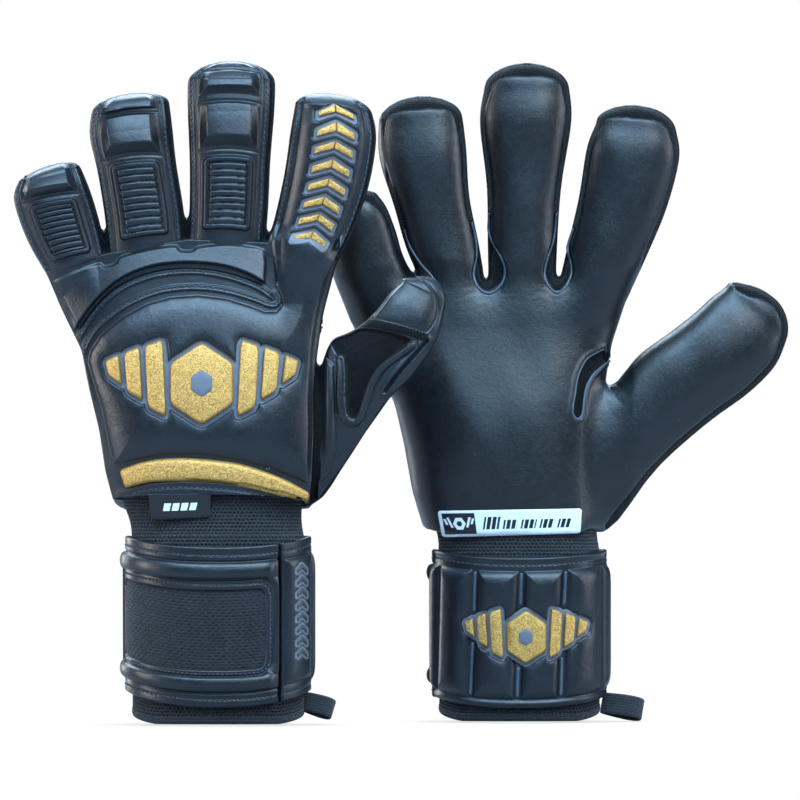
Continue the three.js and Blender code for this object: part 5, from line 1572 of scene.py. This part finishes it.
def thumb_relief(P):
    et = sdf(P, T_TIP); em = sdf(P, T_MESH)
    H = 0.6 + 0 * P[..., 0]
    H = H + 0.8 * (1 - np.exp(-np.maximum(-et, 0) / 9.0)) * (et < 0) - 0.5 * np.exp(-(et / 1.3) ** 2)
    b, _ = dist_line(P, T_BAND)
    inb = 1 - sstep(3.4, 4.4, b)
    H = np.where(b < 4.4, 0.2 + 0.9 * np.sqrt(np.clip(1 - (b / 4.4) ** 2, 0, 1)), H)
    H = np.where(em < 0, H - 1.7 * sstep(0, -3.5, em), H)
    f, sh = dist_line(P, T_FL)
    w = np.interp(sh, [0, 0.35, 0.5, 1], [3.9, 3.9, 3.2, 2.4])
    H = np.where(f < w + 1.0, np.maximum(H, 1.5 * (1 - sstep(w - 0.4, w + 0.9, f))), H)
    H -= 0.3 * np.exp(-(f / 0.7) ** 2) * (sh < 0.5)
    H -= 0.5 * np.exp(-((f - w - 1.2) / 0.9) ** 2) * (em > 0)
    o, _ = dist_line(P, T_FOLD)
    H += 0.9 * np.exp(-((o - 3.2) / 2.0) ** 2) - 0.9 * np.exp(-(o / 1.3) ** 2)
    sd, _ = dist_line(P, T_SIDE[:5])
    ins = inside(P, T_SIDE)
    H += np.where(ins, 1.2 * (1 - np.exp(-sd / 3.5)), 0) - 0.6 * np.exp(-(sd / 1.2) ** 2)
    band = np.maximum(inb, (1 - sstep(-1.2, -0.4, em)) * sstep(w - 0.3, w + 0.3, f))
    return H, band
def thumb_back_piece(g):
    n, m = int(190 / RES), int(300 / RES)
    h = np.linspace(0.015, 0.985, n)[:, None] * np.ones((1, m)); t = np.ones((n, 1)) * np.linspace(0.0, 1.0, m)[None]
    P = left_sheet(thumb_xz("left", h, t))
    H, band = thumb_relief(P)
    S, b = thumb_rows(g)
    bb = catmull(b[:, None], t * (len(S) - 1))[..., 0]
    u = np.abs(2 * h - 1)
    edge = sstep(0, 1, np.minimum(h - 0.015, 0.985 - h) / 0.04)
    start = sstep(0.0, 0.05, t)
    D = bb * (0.62 + 0.38 * (1 - u ** 2.4)) + H * edge
    D = D * (0.8 + 0.2 * start)
    xz = thumb_xz(g, h, t)
    V, Fs = slab(world(g, xz, -D), world(g, xz, -np.minimum(bb * 0.2, D - 0.6)))
    emit(f"{g}_thumb_back_panel", V, Fs, "back_latex", ("thumb", g), {"slate": np.zeros(len(V)), "band": np.concatenate([band.ravel(), np.ones(n * m)])})
    def pos(Q):
        hh, tt = invert(thumb_xz, "left", mm("left", Q))
        xz = thumb_xz(g, hh, tt); H, _ = thumb_relief(Q)
        bq = catmull(b[:, None], np.clip(tt, 0, 1) * (len(S) - 1))[..., 0]
        return world(g, xz, -(bq * (0.62 + 0.38 * (1 - np.clip(np.abs(2 * hh - 1), 0, 1) ** 2.4)) + H))
    line = T_FL[:36]
    X = pos(line); e = 0.8
    N = np.cross(pos(line + np.array([e, 0])) - X, pos(line + np.array([0, e])) - X); ln = np.linalg.norm(N, axis=1)
    good = (ln > 1e-4) & np.isfinite(ln)
    X, N = X[good], N[good] / ln[good][:, None]
    N *= np.where(N[:, 1:2] * -PALM[g] < 0, -1, 1)
    stitch_row((f"{g}_thumb_stitches", ("thumb", g)), X, N, pitch=1.9, length=1.35)

# ------------------------------------------------------------------ size label on the wrist
def size_label(g):
    n, m = int(150 / RES), int(50 / RES)
    U, W = np.linspace(0, 1, n)[:, None] * np.ones((1, m)), np.ones((n, 1)) * np.linspace(0, 1, m)[None]
    A = np.array([(150, 494), (212, 493), (211, 516.5), (153, 519)], float)
    P = (A[0] + (A[1] - A[0]) * U[..., None]) * (1 - W[..., None]) + (A[3] + (A[2] - A[3]) * U[..., None]) * W[..., None]
    Lf = mm("left", L["left"]["left"][0]); Rt = mm("left", L["left"]["right"][0])
    xn = (mm("left", P)[..., 0] - (Lf[0] + Rt[0]) / 2) / ((Rt[0] - Lf[0]) / 2)
    Lg = mm(g, L[g]["left"][0]); Rg = mm(g, L[g]["right"][0])
    X = (Lg[0] + Rg[0]) / 2 + xn * (Rg[0] - Lg[0]) / 2
    Z = HANDZ[g][0] + (mm("left", P)[..., 1] - HANDZ["left"][0])
    low = 1 - sstep(HANDZ[g][0] - 10, HANDZ[g][0] + 2, Z)
    D = 22.2 - 1.2 * low + 1.8 - 5.0 * np.abs(xn) ** 2.2 + 0.5 * np.sin(U * math.pi)
    ink = np.ones((n, m))
    x_, y_ = U * 62, W * 23
    bars = np.zeros((n, m), bool)
    for a, b in ((14, 21), (23, 30), (32, 39), (41, 48)):
        xx = x_ + (y_ - 12) * 0.3
        bars |= (xx > a) & (xx < b) & (y_ > 8.5) & (y_ < 15.5)
    ink[bars] = 0
    xz = np.stack([X, Z], -1)
    V, Fs = slab(world(g, xz, -D), world(g, xz, -(D - 0.9)))
    emit(f"{g}_size_label", V, Fs, "white_label", ("body", f"{g}_hand"), {"ink": np.concatenate([ink.ravel(), np.ones(n * m)])})

# ------------------------------------------------------------------ build everything
PNS = {}
for g in ("left", "right"):
    V, Fs = base_body(g)
    V, band = base_dress(g, V, Fs)
    nodes = [f"{g}_palm_panel", f"{g}_thumb_web_gusset", f"{g}_thumb_base", f"{g}_thumb_roll", f"{g}_thumb_back"]
    for f in FINGERS: nodes += [f"{g}_{f}_roll_base", f"{g}_{f}_roll_tip"]
    made = emit(f"{g}_body", V, Fs, "palm_latex", ("glove", g), {"band": band})
    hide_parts(f"{g}_palm_panel", f"{g}_thumb_web_gusset", f"{g}_thumb_base")
    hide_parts(f"{g}_thumb_roll", f"{g}_thumb_back")
    for f in FINGERS:
        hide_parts(f"{g}_{f}_roll_base"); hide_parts(f"{g}_{f}_roll_tip")
    FP = Field(V, Fs, g, "palm")
    hand_back_piece(g)
    gold_pieces(g)
    for f in FINGERS:
        pn = finger_back_piece(g, f)
        if f == "index": chevrons(g, pn)
    build_cuff(g); build_sleeve(g); build_loop(g)
    label_patch(g, FP); palm_piping(g, FP)
    thumb_back_piece(g); size_label(g)
flush_stitches()

# ------------------------------------------------------------------ stage, light and camera
sc = bpy.context.scene
# floor: camera rays see a white glow darkened by ambient occlusion near the gloves, a painted contact shadow; all other
# rays see a grey diffuse floor
floor_painted_shadow_mat = bpy.data.materials.new("studio_floor_painted_shadow"); floor_painted_shadow_mat.use_nodes = True
pnt = floor_painted_shadow_mat.node_tree; pn_ = pnt.nodes
pb = pn_["Principled BSDF"]; pb.inputs["Base Color"].default_value = (0.30, 0.31, 0.33, 1); pb.inputs["Roughness"].default_value = 0.9
floor_glow_painted_shadow = pn_.new("ShaderNodeEmission"); plp = pn_.new("ShaderNodeLightPath"); pmx = pn_.new("ShaderNodeMixShader")
# painted contact shadow: ambient occlusion lowers the camera-seen floor glow from 1.0 down to 0.55 near the gloves
floor_painted_shadow_ao = pn_.new("ShaderNodeAmbientOcclusion"); floor_painted_shadow_ao.inputs["Distance"].default_value = 0.035; floor_painted_shadow_ao.samples = 8
floor_painted_shadow_ramp = pn_.new("ShaderNodeMapRange"); floor_painted_shadow_ramp.inputs["From Min"].default_value = 0.05; floor_painted_shadow_ramp.inputs["From Max"].default_value = 0.85
floor_painted_shadow_ramp.inputs["To Min"].default_value = 0.55; floor_painted_shadow_ramp.inputs["To Max"].default_value = 1.0
pnt.links.new(floor_painted_shadow_ao.outputs["AO"], floor_painted_shadow_ramp.inputs["Value"]); pnt.links.new(floor_painted_shadow_ramp.outputs[0], floor_glow_painted_shadow.inputs["Color"])
pnt.links.new(plp.outputs["Is Camera Ray"], pmx.inputs[0]); pnt.links.new(pb.outputs[0], pmx.inputs[1]); pnt.links.new(floor_glow_painted_shadow.outputs[0], pmx.inputs[2])
pnt.links.new(pmx.outputs[0], pn_["Material Output"].inputs["Surface"])
me = bpy.data.meshes.new("studio_floor_painted_shadow")
me.from_pydata([(-4, -9, -0.0006), (4, -9, -0.0006), (4, 4, -0.0006), (-4, 4, -0.0006)], [], [(0, 1, 2, 3)])
me.materials.append(floor_painted_shadow_mat)
floor = bpy.data.objects.new("studio_floor_painted_shadow", me); COL.objects.link(floor)
floor.visible_camera = True
w = bpy.data.worlds.new("studio"); w.use_nodes = True; sc.world = w
nt = w.node_tree; q = nt.nodes
bg = q["Background"]
lp = q.new("ShaderNodeLightPath"); geo = q.new("ShaderNodeNewGeometry"); sepn = q.new("ShaderNodeSeparateXYZ")
tc = q.new("ShaderNodeTexCoord"); nt.links.new(tc.outputs["Generated"], sepn.inputs[0])
mx = q.new("ShaderNodeValToRGB")
rmp = q.new("ShaderNodeMapRange"); rmp.inputs["From Min"].default_value = -1; rmp.inputs["From Max"].default_value = 1
nt.links.new(sepn.outputs[2], rmp.inputs["Value"]); nt.links.new(rmp.outputs[0], mx.inputs[0])
els = mx.color_ramp.elements
els[0].position = 0.40; els[0].color = (0.012, 0.014, 0.018, 1)
els[1].position = 1.0; els[1].color = (0.66, 1.06, 1.60, 1)
for pos_, col_ in ((0.52, (0.012, 0.016, 0.022, 1)), (0.62, (0.022, 0.034, 0.052, 1)), (0.75, (0.13, 0.215, 0.33, 1)), (0.88, (0.40, 0.66, 1.0, 1))):
    e_ = els.new(pos_); e_.color = col_
mx2 = q.new("ShaderNodeMix"); mx2.data_type = "RGBA"; mx2.inputs[7].default_value = (1, 1, 1, 1)
nt.links.new(lp.outputs["Is Camera Ray"], mx2.inputs[0]); nt.links.new(mx.outputs[0], mx2.inputs[6])
nt.links.new(mx2.outputs[2], bg.inputs["Color"]); bg.inputs["Strength"].default_value = 1.0

def area(name, loc, target, size, power, color):
    ld = bpy.data.lights.new(name, "AREA"); ld.shape = "RECTANGLE"; ld.size, ld.size_y = size; ld.energy = power; ld.color = color
    o = bpy.data.objects.new(name, ld); COL.objects.link(o); o.location = loc
    o.rotation_euler = (Vector(target) - Vector(loc)).to_track_quat("-Z", "Y").to_euler()
    return o
area("sky_panel", (0.10, -0.88, 1.38), (0, 0, 0.15), (1.8, 0.8), 46, (0.44, 0.72, 1.0))
area("low_panel", (0.15, -1.75, 0.86), (0, 0, 0.15), (1.1, 0.22), 7.0, (0.40, 0.70, 1.0))
area("key", (0.55, -0.95, 0.85), (0.02, 0, 0.15), (0.30, 0.30), 3.0, (0.86, 0.94, 1.0))
area("side_left", (-1.25, -0.42, 0.32), (-0.03, 0, 0.13), (0.35, 0.8), 8.5, (1.0, 0.97, 0.93))
area("back_panel", (-0.2, 1.15, 1.30), (0, 0, 0.15), (1.7, 0.8), 34, (0.66, 0.85, 1.0))
area("back_left", (-1.0, 0.9, 0.35), (0, 0, 0.13), (0.35, 0.7), 6, (1.0, 0.97, 0.93))
area("side_right", (1.25, -0.30, 0.45), (0.03, 0, 0.13), (0.3, 0.7), 5.5, (0.80, 0.90, 1.0))

cam = bpy.data.cameras.new("camera"); cam.lens = 634; cam.sensor_width = 36; cam.clip_end = 30
co = bpy.data.objects.new("camera", cam); COL.objects.link(co)
co.location = (-0.0008 + OFFX / 1000, -6.0, 0.137); co.rotation_euler = (math.radians(90), 0, 0)
sc.camera = co
sc.view_settings.view_transform = "Standard"
